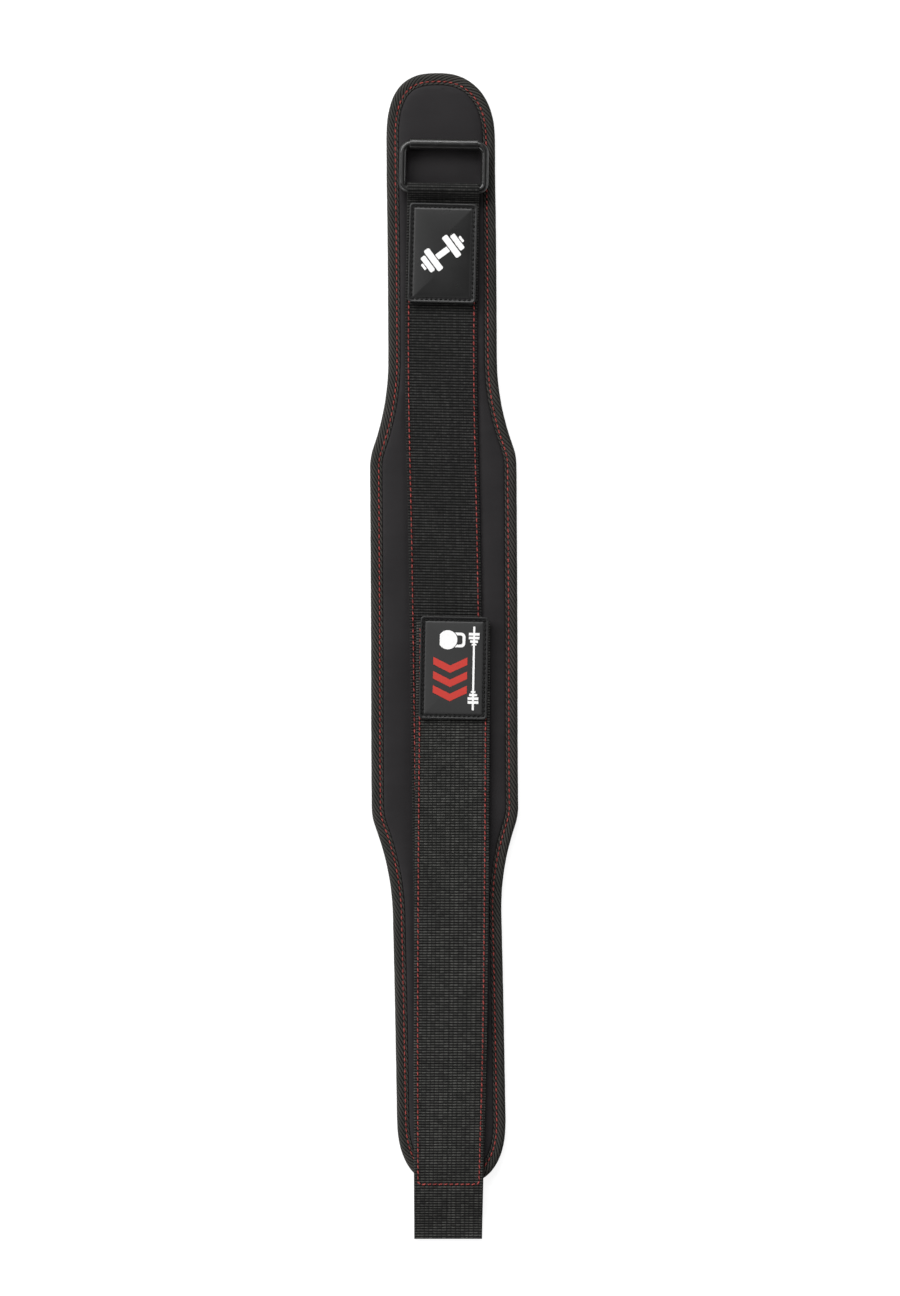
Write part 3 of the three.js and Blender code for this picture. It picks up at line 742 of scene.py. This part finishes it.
def dashes(line, stitch, closed=False):
    """Middles and directions of dashes at an even pitch along a line of points in space."""
    line = np.concatenate([line, line[:1]]) if closed else line
    marks = lengths_along(line)
    count = round(marks[-1] / stitch["pitch"])
    at = (np.arange(count) + 0.5) * marks[-1] / count
    near = 0.0004
    along = points_at(line, marks, at + near) - points_at(line, marks, at - near)
    return points_at(line, marks, at), along / np.linalg.norm(along, axis=1)[:, None]


def upwards(along, sign=1):
    """Unit directions square to the dashes, as near to straight up (or down) as they allow."""
    up = np.array([0, 0, sign]) - along * (along[:, 2] * sign)[:, None]
    return up / np.linalg.norm(up, axis=1)[:, None]


def sew(name, line, stitch, material, sign=1, closed=False):
    centres, along = dashes(line, stitch, closed)
    make_stitches(name, centres, along, upwards(along, sign), stitch, material)


def sew_binding(material):
    place, normal = RIM.at(np.arange(0, RIM.length, 0.001))
    seam = place + BINDING_STITCH_INSET * normal
    front_z = BINDING_HEIGHT - BINDING_STITCH_SINK
    for name, z, sign in (("front", front_z, 1), ("back", BINDING_BACK_STITCH_Z, -1)):
        line = np.column_stack([seam, np.full(len(seam), z)])
        sew(f"binding_seam_{name}", line, RED_STITCH, material, sign, closed=True)


def sew_webbing(material):
    y = np.arange(WEBBING_END_Y + 0.002, TAIL_END_Y + 0.006, 0.002)
    z = {"front": WEBBING_Z + WEBBING_THICKNESS / 2 - STITCH_SINK, "back": BACK_STITCH_Z}
    for side_name, side in (("left", -1), ("right", 1)):
        from_middle = side * (WEBBING_WIDTH / 2 - WEBBING_STITCH_INSET)
        x = webbing_middle_x(y) + from_middle * math.cos(HEAD_TURN)
        rows_y = y + from_middle * math.sin(HEAD_TURN)
        for face, sign in (("front", 1), ("back", -1)):
            line = np.column_stack([x, rows_y, np.full(len(y), z[face])])
            sew(f"webbing_seam_{side_name}_{face}", line, RED_STITCH, material, sign)


def strap_surface(course, y):
    return np.interp(-y, -course[:, 0], course[:, 1]) + STRAP_THICKNESS / 2 - STITCH_SINK


def sew_strap(material, course):
    """One line down the left side, across above the tip and up the right side."""
    cross_y = STRAP_TIP_Y + STRAP_CROSS_ROW_FROM_TIP
    r = STRAP_CROSS_ROW_CORNER
    sides = np.arange(STRAP_START_Y - 0.004, cross_y + r, -0.002)
    turn = np.linspace(0, math.pi / 2, 8)
    half = strap_width(sides) / 2 - STRAP_STITCH_INSET
    end_half = half[-1]
    down = np.column_stack([-half, sides])
    corner = np.column_stack([-end_half + r * (1 - np.cos(turn)), cross_y + r * (1 - np.sin(turn))])
    left = np.concatenate([down, corner])
    across_y = np.concatenate([left, left[::-1] * [-1, 1]])
    across, y = across_y.T
    x = strap_middle_x(y) + across * math.cos(STRAP_TURN)
    y = y + across * math.sin(STRAP_TURN)
    line = np.column_stack([x, y, strap_surface(course, y)])
    sew("strap_seam", line, STRAP_STITCH, material)


# Labels


def corner_arcs(width, length, radii, steps):
    """The quarter arcs at a rectangle's corners, counter-clockwise from the upper right one."""
    turn = np.linspace(0, math.pi / 2, steps + 1)
    arcs = []
    for number, (sx, sy) in enumerate(((1, 1), (-1, 1), (-1, -1), (1, -1))):
        radius = radii[number]
        angle = turn + number * math.pi / 2
        centre = np.array([sx * (width / 2 - radius), sy * (length / 2 - radius)])
        arcs.append(centre + radius * np.column_stack([np.cos(angle), np.sin(angle)]))
    return arcs


def rounded_rectangle(width, length, radius):
    """Points round a rectangle with round corners, counter-clockwise, the same number at any size."""
    corners = corner_arcs(width, length, [radius] * 4, steps=6)
    points = []
    for here, after in zip(corners, corners[1:] + corners[:1]):
        points.append(here)
        points.append(here[-1] + np.linspace(0, 1, 9)[1:-1, None] * (after[0] - here[-1]))
    return np.concatenate(points)


def on_label(label, points, z):
    """Places on a label's own directions, put on the belt at one height."""
    plan = rotated(points, label["turn"]) + [label["x"], label["y"]]
    return np.column_stack([plan, np.full(len(plan), z)])


def label_ring(label, inset):
    """The label's outline, drawn in on all sides."""
    radius = max(LABEL_CORNER - inset / 2, 0.0005)
    return rounded_rectangle(label["width"] - 2 * inset, label["length"] - 2 * inset, radius)


def label_profile():
    """Inset and height of the label's rings, from its back edge over rim and groove to its middle."""
    floor = LABEL_THICKNESS - LABEL_GROOVE_DEPTH
    groove = LABEL_RIM + LABEL_GROOVE
    top = LABEL_THICKNESS
    rings = [
        (0.0002, 0), (0, 0.0002), (0, top - 0.00055), (0.00012, top - 0.00025), (0.00035, top - 0.00008),
        (LABEL_RIM / 2, top), (LABEL_RIM - 0.00035, top - 0.00008), (LABEL_RIM - 0.0001, top - 0.0003),
        (LABEL_RIM + 0.0001, floor + 0.00012), (LABEL_RIM + 0.0003, floor), (groove - 0.0003, floor),
        (groove, floor + 0.00005), (groove + 0.0002, floor + 0.00016), (groove + 0.0005, floor + 0.0003),
        (groove + 0.0009, floor + 0.0004), (groove + LABEL_BEVEL, top),
    ]
    crown_start = rings[-1][0]
    for inset in (0.008, 0.011, 0.014, 0.018, 0.021):
        share = (inset - crown_start) / (0.021 - crown_start)
        rings.append((inset, top + LABEL_CROWN * (1 - (1 - share) ** 2)))
    return rings


def make_label(name, node, label, material):
    profile = label_profile()
    rings = [on_label(label, label_ring(label, inset), label["z"] + height) for inset, height in profile]
    faces = capped_tube(len(rings), len(rings[0]))
    lay = np.zeros((len(rings), len(rings[0]), 3))
    lay[..., 0] = column(profile, 0)[:, None]
    make_piece(name, np.concatenate(rings), faces, material, stands_for=[node], lay=lay)


def sew_label(name, label, material):
    """Black thread in the groove, and where it comes out on the back of the pad."""
    floor = label["z"] + LABEL_THICKNESS - LABEL_GROOVE_DEPTH
    for face, height, sign in (("front", floor, 1), ("back", BACK_STITCH_Z, -1)):
        line = on_label(label, label_ring(label, LABEL_STITCH_INSET), height)
        sew(f"{name}_seam_{face}", line, BLACK_STITCH, material, sign, closed=True)


# Printed motifs: plain gym pictograms


def bar_shape(x, y, width, length, radius):
    return [rounded_rectangle(width, length, radius) + [x, y]]


def turned(shape, angle, shift=(0, 0)):
    return [rotated(loop, angle) + shift for loop in shape]


def dumbbell():
    """A dumbbell seen from the side: handle, two pairs of plates and two end caps."""
    shapes = [bar_shape(0, 0, 0.0098, 0.0042, 0.0006)]
    for side in (-1, 1):
        shapes.append(bar_shape(side * 0.0078, 0, 0.0044, 0.0176, 0.0012))
        shapes.append(bar_shape(side * 0.0128, 0, 0.0038, 0.0126, 0.0011))
        shapes.append(bar_shape(side * 0.0162, 0, 0.0018, 0.0048, 0.0006))
    return shapes


def kettlebell():
    """A kettlebell seen from the side: a round body with a flat foot, and its handle as an arch above."""
    radius, foot = 0.0066, -0.0056
    foot_turn = math.asin(foot / radius)
    bend = np.linspace(foot_turn, math.pi - foot_turn, 44)
    body = radius * np.column_stack([np.cos(bend), np.sin(bend)])
    outer = arch(half=0.0051, top=0.0122, corner=0.003, foot=0.0050)
    inner = arch(half=0.0032, top=0.0102, corner=0.0015, foot=0.0064)
    return [[body], [np.concatenate([outer, inner[::-1]])]]


def arch(half, top, corner, foot):
    """The line of an arch with round corners, from its right foot to its left one."""
    turn = np.linspace(0, math.pi / 2, 8)
    right = corner * np.column_stack([np.cos(turn), np.sin(turn)]) + [half - corner, top - corner]
    side = np.concatenate([[[half, foot]], right])
    return np.concatenate([side, side[::-1] * [-1, 1]])


def chevron(x, y):
    """A broad arrowhead that points down the belt."""
    half, drop, arm = 0.0118, 0.0058, 0.0052
    upper = [[half, y], [0, y - drop], [-half, y]]
    lower = [[-half, y - arm], [0, y - drop - arm], [half, y - arm]]
    return [np.array(upper + lower) + [x, 0]]


def barbell(x, length):
    """A long bar along the label's side, with three plates and a collar near each end, as one outline."""
    bar, gap = 0.0007, 0.0007
    place = length / 2
    steps = [[bar, place]]
    place -= 0.0044
    for half, thickness in ((0.0037, 0.0019), (0.0037, 0.0019), (0.0027, 0.0017), (0.0016, 0.0012)):
        steps += [[bar, place], [half, place], [half, place - thickness], [bar, place - thickness]]
        place -= thickness + gap
    upper = np.array(steps)
    right = np.concatenate([upper, upper[::-1] * [1, -1]])
    return [np.concatenate([right[::-1], right * [-1, 1]]) + [x, 0]]


def make_print(name, shapes, label, material):
    """Thin raised print: each shape is its outline and any openings, on the label's own directions."""
    top = label["z"] + LABEL_THICKNESS + LABEL_CROWN + PRINT_HEIGHT
    bottom = label["z"] + LABEL_THICKNESS - PRINT_SINK
    points = []
    faces = []
    for shape in shapes:
        start = sum(len(part) for part in points)
        flat = np.concatenate(shape)
        count = len(flat)
        triangles = tessellate_polygon([[(*point, 0) for point in loop] for loop in shape])
        upper = [list(triangle) for triangle in triangles]
        if sum(double_area(flat, triangle) for triangle in upper) < 0:
            upper = [triangle[::-1] for triangle in upper]
        faces += [[start + corner for corner in face] for face in upper]
        faces += [[start + count + corner for corner in face[::-1]] for face in upper]
        first = 0
        for loop in shape:
            here = first + np.arange(len(loop))
            after = first + (np.arange(len(loop)) + 1) % len(loop)
            wall = np.column_stack([here, here + count, after + count, after]) + start
            faces += wall.tolist()
            first += len(loop)
        points += [on_label(label, flat, top), on_label(label, flat, bottom)]
    make_piece(name, np.concatenate(points), faces, material, crease=math.radians(40))


# Buckle


def on_buckle(points):
    """Places on the buckle's own directions, from the middle of its lower bar, put on the belt."""
    plan = rotated(points[..., :2], HEAD_TURN) + [BAR_X, BAR_Y]
    return np.concatenate([plan, points[..., 2:] + BAR_Z], axis=-1)


def make_ring(material):
    upper = RING_UPPER_CORNER_RADIUS - WIRE_RADIUS
    lower = RING_LOWER_CORNER_RADIUS - WIRE_RADIUS
    arcs = corner_arcs(RING_WIDTH - WIRE_DIAMETER, BAR_SPACING, [upper, upper, lower, lower], steps=14)
    course = Course(np.concatenate(arcs))
    place, inward = course.at(np.arange(0, course.length, 0.0006))
    angle = whole_turn(28)
    swing = WIRE_RADIUS * np.cos(angle)[None, :, None] * inward[:, None]
    flat = place[:, None] + swing + [0, BAR_SPACING / 2]
    z = np.broadcast_to(WIRE_RADIUS * np.sin(angle), flat.shape[:2])
    points = np.dstack([flat, z])
    faces = grid_faces(*points.shape[:2], rows_close=True, columns_close=True)
    make_piece(
        "ring_wire", on_buckle(points), faces, material,
        body="buckle", stands_for=["buckle_frame"],
    )


def make_roller(material):
    """A sleeve with rolled lips at both ends, round the ring's upper bar."""
    bore = ROLLER_RADIUS - ROLLER_WALL
    half = ROLLER_LENGTH / 2
    lip = ROLLER_WALL / 2
    turn = np.linspace(0, math.pi, 9)
    end = np.column_stack([bore + lip - lip * np.cos(turn), half - lip + lip * np.sin(turn)])
    wall = np.column_stack([np.full(23, ROLLER_RADIUS), np.linspace(half - lip, lip - half, 25)[1:-1]])
    inner = np.column_stack([np.full(5, bore), np.linspace(lip - half, half - lip, 7)[1:-1]])
    profile = np.concatenate([end, wall, end[::-1] * [1, -1], inner])
    angle = whole_turn(72)
    radius, along = profile.T
    y = BAR_SPACING + radius[:, None] * np.cos(angle)
    z = radius[:, None] * np.sin(angle)
    x = np.broadcast_to(along[:, None], y.shape)
    points = np.dstack([x, y, z])
    faces = grid_faces(*points.shape[:2], rows_close=True, columns_close=True)
    make_piece(
        "roller_sleeve", on_buckle(points), faces, material,
        body="roller", stands_for=["buckle_roller"], crease=math.radians(50),
    )


# Materials


class Finish:
    """A material with short ways to add nodes to it."""

    def __init__(self, name, color, roughness, specular=0.5):
        self.material = bpy.data.materials.new(name)
        self.material.use_nodes = True
        self.tree = self.material.node_tree
        self.shader = self.tree.nodes["Principled BSDF"]
        self.shader.inputs["Base Color"].default_value = (*color, 1)
        self.shader.inputs["Roughness"].default_value = roughness
        self.shader.inputs["Specular IOR Level"].default_value = specular

    def node(self, kind, inputs=(), **settings):
        node = self.tree.nodes.new(kind)
        for key, value in settings.items():
            setattr(node, key, value)
        for key, value in dict(inputs).items():
            self.put(node.inputs[key], value)
        return node

    def put(self, socket, value):
        if isinstance(value, bpy.types.NodeSocket):
            self.tree.links.new(value, socket)
        else:
            socket.default_value = value

    def place(self):
        return self.node("ShaderNodeTexCoord").outputs["Object"]

    def lay(self):
        vector = self.node("ShaderNodeAttribute", attribute_name="lay").outputs["Vector"]
        return self.node("ShaderNodeSeparateXYZ", {"Vector": vector}).outputs

    def math(self, operation, first, second=0.0, third=0.0):
        values = {0: first, 1: second, 2: third}
        return self.node("ShaderNodeMath", values, operation=operation).outputs[0]

    def noise(self, scale, detail=2.0, vector=None):
        vector = vector or self.place()
        inputs = {"Vector": vector, "Scale": scale, "Detail": detail}
        return self.node("ShaderNodeTexNoise", inputs).outputs["Fac"]

    def spread(self, value, low, high, to_low, to_high):
        inputs = {"Value": value, "From Min": low, "From Max": high, "To Min": to_low, "To Max": to_high}
        return self.node("ShaderNodeMapRange", inputs).outputs["Result"]

    def blend(self, share, first, second):
        node = self.node("ShaderNodeMix", data_type="RGBA")
        self.put(node.inputs["Factor"], share)
        for name, color in (("A", first), ("B", second)):
            socket = next(s for s in node.inputs if s.name == name and s.type == "RGBA")
            self.put(socket, color if isinstance(color, bpy.types.NodeSocket) else (*color, 1))
        return next(s for s in node.outputs if s.type == "RGBA")

    def color(self, value):
        self.put(self.shader.inputs["Base Color"], value)

    def rough(self, value):
        self.put(self.shader.inputs["Roughness"], value)

    def bump(self, height, distance, strength=1.0):
        previous = self.shader.inputs["Normal"]
        inputs = {"Height": height, "Distance": distance, "Strength": strength}
        node = self.node("ShaderNodeBump", inputs)
        if previous.is_linked:
            self.tree.links.new(previous.links[0].from_socket, node.inputs["Normal"])
        self.tree.links.new(node.outputs["Normal"], previous)


def neoprene_finish():
    """Smooth black neoprene with a fine grain, a faint cloudiness and a few specks of lint."""
    finish = Finish("neoprene", (0.015, 0.014, 0.015), 0.7, specular=0.12)
    cloud = finish.noise(26, 3)
    grain = finish.noise(2600, 2)
    speck = finish.node("ShaderNodeTexVoronoi", {"Vector": finish.place(), "Scale": 95.0}).outputs["Distance"]
    patch = finish.spread(cloud, 0.35, 0.65, 0, 1)
    base = finish.blend(patch, (0.0140, 0.0129, 0.0137), (0.0172, 0.0159, 0.0168))
    lint = finish.spread(speck, 0.012, 0.03, 0.2, 0)
    finish.color(finish.blend(lint, base, (0.13, 0.125, 0.12)))
    finish.rough(finish.spread(grain, 0.3, 0.7, 0.62, 0.78))
    finish.bump(grain, 0.00006, 0.5)
    return finish.material


def tape_finish():
    """Polyester tape with painted shade between the cords of its twill, and fine yarns across each cord."""
    finish = Finish("binding_tape", (0.03, 0.029, 0.026), 0.65, specular=0.15)
    along, across, height = finish.lay()
    yarn_run = finish.math("ADD", along, finish.math("MULTIPLY", across, 0.5))
    yarn = finish.math("SINE", finish.math("MULTIPLY", yarn_run, 2 * math.pi / 0.0012))
    patch = finish.spread(finish.noise(38, 2), 0.35, 0.65, 0, 1)
    tone = finish.blend(patch, (0.031, 0.031, 0.027), (0.045, 0.041, 0.037))
    # painted shade: the tape turns nearly black towards the valleys between its twill cords, following the
    # relief's height
    shaded = finish.blend(finish.spread(height, 0.25, 1, 0, 1), (0.002, 0.002, 0.0018), tone)
    finish.color(finish.blend(finish.spread(yarn, -1, 1, 0.1, 0), shaded, (0.006, 0.006, 0.0055)))
    finish.bump(yarn, 0.00004, 0.5)
    finish.bump(finish.noise(1500, 2), 0.00008, 0.5)
    return finish.material


def webbing_finish(name, light, pitch, unevenness, gap_tone):
    """Woven webbing: on each cross rib the warp shows as a row of short lighter dashes, painted highlights on
    the rib crests, with painted shade in the valleys between the ribs.
    pitch is the spacing of the dashes along each rib, and gap_tone how light the rib stays between them, as
    painted shade there and as a dip in the bump."""
    finish = Finish(name, light, 0.65, specular=0.12)
    across, rib, _ = finish.lay()
    fuzz = finish.noise(850, 3)
    rib_number = finish.math("FLOOR", rib)
    uneven_rib = finish.math("MULTIPLY_ADD", fuzz, 0.3, finish.math("SUBTRACT", rib, 0.15))
    crest_at = finish.math("ABSOLUTE", finish.math("SUBTRACT", finish.math("FRACT", uneven_rib), 0.5))
    crest = finish.spread(crest_at, 0.1, 0.34, 1, 0)
    yarns = {"W": finish.math("DIVIDE", across, pitch), "Scale": 1.0, "Randomness": unevenness}
    edge = finish.node(
        "ShaderNodeTexVoronoi", yarns, voronoi_dimensions="1D", feature="DISTANCE_TO_EDGE"
    ).outputs["Distance"]
    yarn = finish.node("ShaderNodeTexVoronoi", yarns, voronoi_dimensions="1D").outputs["W"]
    here = finish.node("ShaderNodeCombineXYZ", {"X": yarn, "Y": rib_number}).outputs["Vector"]
    single = finish.node("ShaderNodeTexWhiteNoise", {"Vector": here}).outputs["Value"]
    patch = finish.spread(finish.noise(70, 2), 0.3, 0.7, 0.75, 1.15)
    streak_place = finish.math("DIVIDE", across, 0.0021)
    streak = finish.node("ShaderNodeTexNoise", {"W": streak_place, "Scale": 1.0}, noise_dimensions="1D")
    column_tone = finish.spread(streak.outputs["Fac"], 0.3, 0.7, 0.7, 1.2)
    between = finish.spread(edge, 0.06, 0.2, gap_tone, 1)
    lively = finish.math("MULTIPLY", finish.math("MULTIPLY_ADD", single, 0.6, 0.45), patch)
    lively = finish.math("MULTIPLY", lively, column_tone)
    # the dash mask is the weave of the warp dashes together with a painted highlight on the rib crests
    dash_weave_and_highlight = finish.math("MULTIPLY", finish.math("MULTIPLY", crest, between), lively)
    # painted shade at the dark end (0.1 of the tone, in the rib valleys) and painted highlight at the bright
    # end (3.1 of it)
    finish.color(finish.blend(dash_weave_and_highlight, tuple(0.1 * c for c in light), tuple(3.1 * c for c in light)))
    finish.bump(finish.math("MULTIPLY", between, crest), 0.0001, 0.7)
    finish.bump(fuzz, 0.0001, 0.5)
    return finish.material


def label_finish(name, rim, panel, rim_rough, panel_rough, gloss):
    """Moulded rubber patch: satin rim, a groove darkened with painted shade, and a panel of its own tone and
    gloss.
    """
    finish = Finish(name, panel, panel_rough, specular=gloss)
    inset, _, _ = finish.lay()
    edge = LABEL_RIM + LABEL_GROOVE
    groove_shade_mask = finish.spread(inset, LABEL_RIM - 0.0003, LABEL_RIM + 0.0001, 0, 1)
    on_panel = finish.spread(inset, edge, edge + 0.0001, 0, 1)
    past_bevel = finish.spread(inset, edge + 0.6 * LABEL_BEVEL, edge + LABEL_BEVEL, 0, 1)
    # painted shade: the groove's colour is the rim's tone darkened to 0.4
    border = finish.blend(groove_shade_mask, rim, tuple(0.4 * c for c in rim))
    finish.color(finish.blend(on_panel, border, panel))
    smudge = finish.noise(60, 3)
    wear = finish.spread(smudge, 0.3, 0.7, panel_rough - 0.03, panel_rough + 0.05)
    mixed = finish.node("ShaderNodeMix", data_type="FLOAT")
    finish.put(mixed.inputs["Factor"], past_bevel)
    finish.put(mixed.inputs["A"], rim_rough)
    finish.put(mixed.inputs["B"], wear)
    finish.rough(mixed.outputs["Result"])
    finish.bump(finish.noise(1400, 2), 0.00003, 0.4)
    return finish.material


def steel_finish():
    """Satin black paint on wire, faintly uneven, rubbed a little where it is handled."""
    finish = Finish("painted_steel", (0.006, 0.0059, 0.0057), 0.33, specular=0.45)
    rub = finish.noise(240, 4)
    base = finish.blend(finish.spread(rub, 0.58, 0.7, 0, 0.5), (0.006, 0.0059, 0.0057), (0.022, 0.021, 0.02))
    finish.color(base)
    finish.rough(finish.spread(rub, 0.3, 0.7, 0.3, 0.38))
    finish.bump(finish.noise(900, 3), 0.00004, 0.35)
    return finish.material


def thread_finish(name, dark, bright):
    """Twisted thread, each stitch with a tone of its own, a painted highlight along its middle and painted
    shade where it dives into the cloth.
    """
    finish = Finish(name, bright, 0.55, specular=0.2)
    run, turn, tone = finish.lay()
    ply_turn = finish.math("MULTIPLY_ADD", run, 2 * math.pi / 0.0011, finish.math("MULTIPLY", turn, 2))
    ply = finish.math("SINE", ply_turn)
    share = finish.math("MULTIPLY_ADD", ply, 0.2, finish.spread(tone, 0, 1, 0.45, 1))
    # painted highlight at the stitch's middle, fading to painted shade towards its ends
    raised = finish.spread(finish.math("ABSOLUTE", run), 0.0006, 0.0016, 1, 0.05)
    finish.color(finish.blend(finish.math("MULTIPLY", share, raised), dark, bright))
    finish.bump(ply, 0.00012, 0.8)
    return finish.material


def print_finish(name, color):
    finish = Finish(name, color, 0.55)
    worn = finish.noise(420, 4)
    finish.color(finish.blend(finish.spread(worn, 0.62, 0.72, 0, 0.25), color, tuple(0.6 * c for c in color)))
    finish.bump(finish.noise(1200, 2), 0.00003, 0.4)
    return finish.material


# Floor, light and camera

PHOTO_ROLL = math.radians(-0.7157)
PHOTO_CENTRE = (0.00294, -0.0128)
PHOTO_HEIGHT = 0.9012
PHOTO_PLANE_Z = 0.004
LENS = 135
SENSOR = 36


def make_floor():
    mesh = bpy.data.meshes.new("floor")
    reach = 12
    corners = [(-reach, -reach), (reach, -reach), (reach, reach), (-reach, reach)]
    mesh.from_pydata([(x, y, -0.0001) for x, y in corners], [], [(0, 1, 2, 3)])
    finish = Finish("floor", (0.2, 0.2, 0.2), 0.9, specular=0)
    finish.put(finish.shader.inputs["Emission Color"], (1, 1, 1, 1))
    finish.put(finish.shader.inputs["Emission Strength"], 0.88)
    mesh.materials.append(finish.material)
    floor = bpy.data.objects.new("floor", mesh)
    bpy.context.scene.collection.objects.link(floor)


def make_light(name, place, target, size, watts):
    """A soft rectangular lamp that faces a target."""
    data = bpy.data.lights.new(name, "AREA")
    data.shape = "RECTANGLE"
    data.size, data.size_y = size
    data.energy = watts
    lamp = bpy.data.objects.new(name, data)
    lamp.location = place
    x, y, z = np.array(place) - np.array(target)
    lamp.rotation_euler = (math.atan2(math.hypot(x, y), z), 0, math.atan2(x, -y))
    bpy.context.scene.collection.objects.link(lamp)


def make_world(strength):
    world = bpy.data.worlds.new("studio")
    world.use_nodes = True
    background = world.node_tree.nodes["Background"]
    background.inputs["Color"].default_value = (1, 1, 1, 1)
    background.inputs["Strength"].default_value = strength
    bpy.context.scene.world = world


def make_camera():
    data = bpy.data.cameras.new("camera")
    data.lens = LENS
    data.sensor_width = SENSOR
    data.sensor_fit = "AUTO"
    data.clip_end = 100
    camera = bpy.data.objects.new("camera", data)
    x, y = np.array(PHOTO_CENTRE) + ORIGIN[:2]
    camera.location = (x, y, PHOTO_HEIGHT * LENS / SENSOR + PHOTO_PLANE_Z)
    camera.rotation_euler = (0, 0, PHOTO_ROLL)
    bpy.context.scene.collection.objects.link(camera)
    bpy.context.scene.camera = camera


make_camera()
make_world(0.012)
make_floor()
make_light("key_lamp", (-2.4, 4.4, 3.4), (0, 0, 0), (10, 2.2), 870)
make_light("foot_lamp", (0.2, -2.4, 0.95), (0, -0.1, 0), (2.2, 0.7), 7)
make_light("left_lamp", (-1.8, -1.4, 0.95), (0, -0.25, 0), (2.0, 0.6), 36)
make_light("right_lamp", (2.3, 0.1, 0.85), (0, 0, 0), (2.0, 0.5), 18)
make_light("top_card", (-0.6, 0.98, 2.6), (0, 0.3, 0), (1.3, 1.2), 9.5)
bpy.context.scene.view_settings.view_transform = "Standard"

neoprene = neoprene_finish()
steel = steel_finish()
# each thread's first colour is the painted shade at the stitch ends, the second its tone with a painted
# highlight along the middle
red_thread = thread_finish("red_thread", (0.035, 0.004, 0.004), (0.31, 0.048, 0.042))
black_thread = thread_finish("black_thread", (0.001, 0.001, 0.001), (0.0025, 0.0025, 0.0025))
print_white = print_finish("print_white", (0.72, 0.715, 0.71))
print_red = print_finish("print_red", (0.42, 0.026, 0.017))

make_pad(neoprene)
make_binding(tape_finish())
strap_line = strap_course()
base_finish = webbing_finish(
    "base_webbing", (0.0112, 0.0111, 0.0106), pitch=0.0017, unevenness=0.75, gap_tone=0.5
)
strap_finish = webbing_finish(
    "strap_webbing", (0.021, 0.021, 0.0195), pitch=0.0031, unevenness=0.3, gap_tone=0.38
)
make_ribbon(
    "webbing_base", base_finish,
    "base_webbing", webbing_course(), WEBBING_THICKNESS, webbing_middle_x, lambda y: WEBBING_WIDTH,
    HEAD_TURN, WEBBING_RIB_PITCH,
)
make_ribbon(
    "closing_strap", strap_finish,
    "strap", strap_line, STRAP_THICKNESS, strap_middle_x, strap_width, STRAP_TURN, STRAP_RIB_PITCH,
)
sew_binding(red_thread)
sew_webbing(red_thread)
sew_strap(red_thread, strap_line)

rim_tone = (0.006, 0.006, 0.006)
gloss = label_finish(
    "label_gloss", rim_tone, (0.010, 0.010, 0.010), rim_rough=0.5, panel_rough=0.29, gloss=0.45
)
matte = label_finish(
    "label_matte", rim_tone, (0.021, 0.021, 0.021), rim_rough=0.5, panel_rough=0.55, gloss=0.35
)
make_label("patch_upper", "label_upper", UPPER_LABEL, gloss)
make_label("patch_lower", "label_lower", LOWER_LABEL, matte)
sew_label("patch_upper", UPPER_LABEL, black_thread)
sew_label("patch_lower", LOWER_LABEL, black_thread)
tilted = [turned(shape, math.radians(38)) for shape in dumbbell()]
make_print("print_dumbbell", tilted, UPPER_LABEL, print_white)
bell = [turned(shape, math.radians(-90), (-0.0045, 0.0195)) for shape in kettlebell()]
make_print("print_kettlebell", bell, LOWER_LABEL, print_white)
make_print("print_barbell", [barbell(0.0137, 0.058)], LOWER_LABEL, print_white)
make_print("print_arrows", [chevron(-0.0025, y) for y in (0.0075, -0.0023, -0.0121)], LOWER_LABEL, print_red)

make_ring(steel)
make_roller(steel)
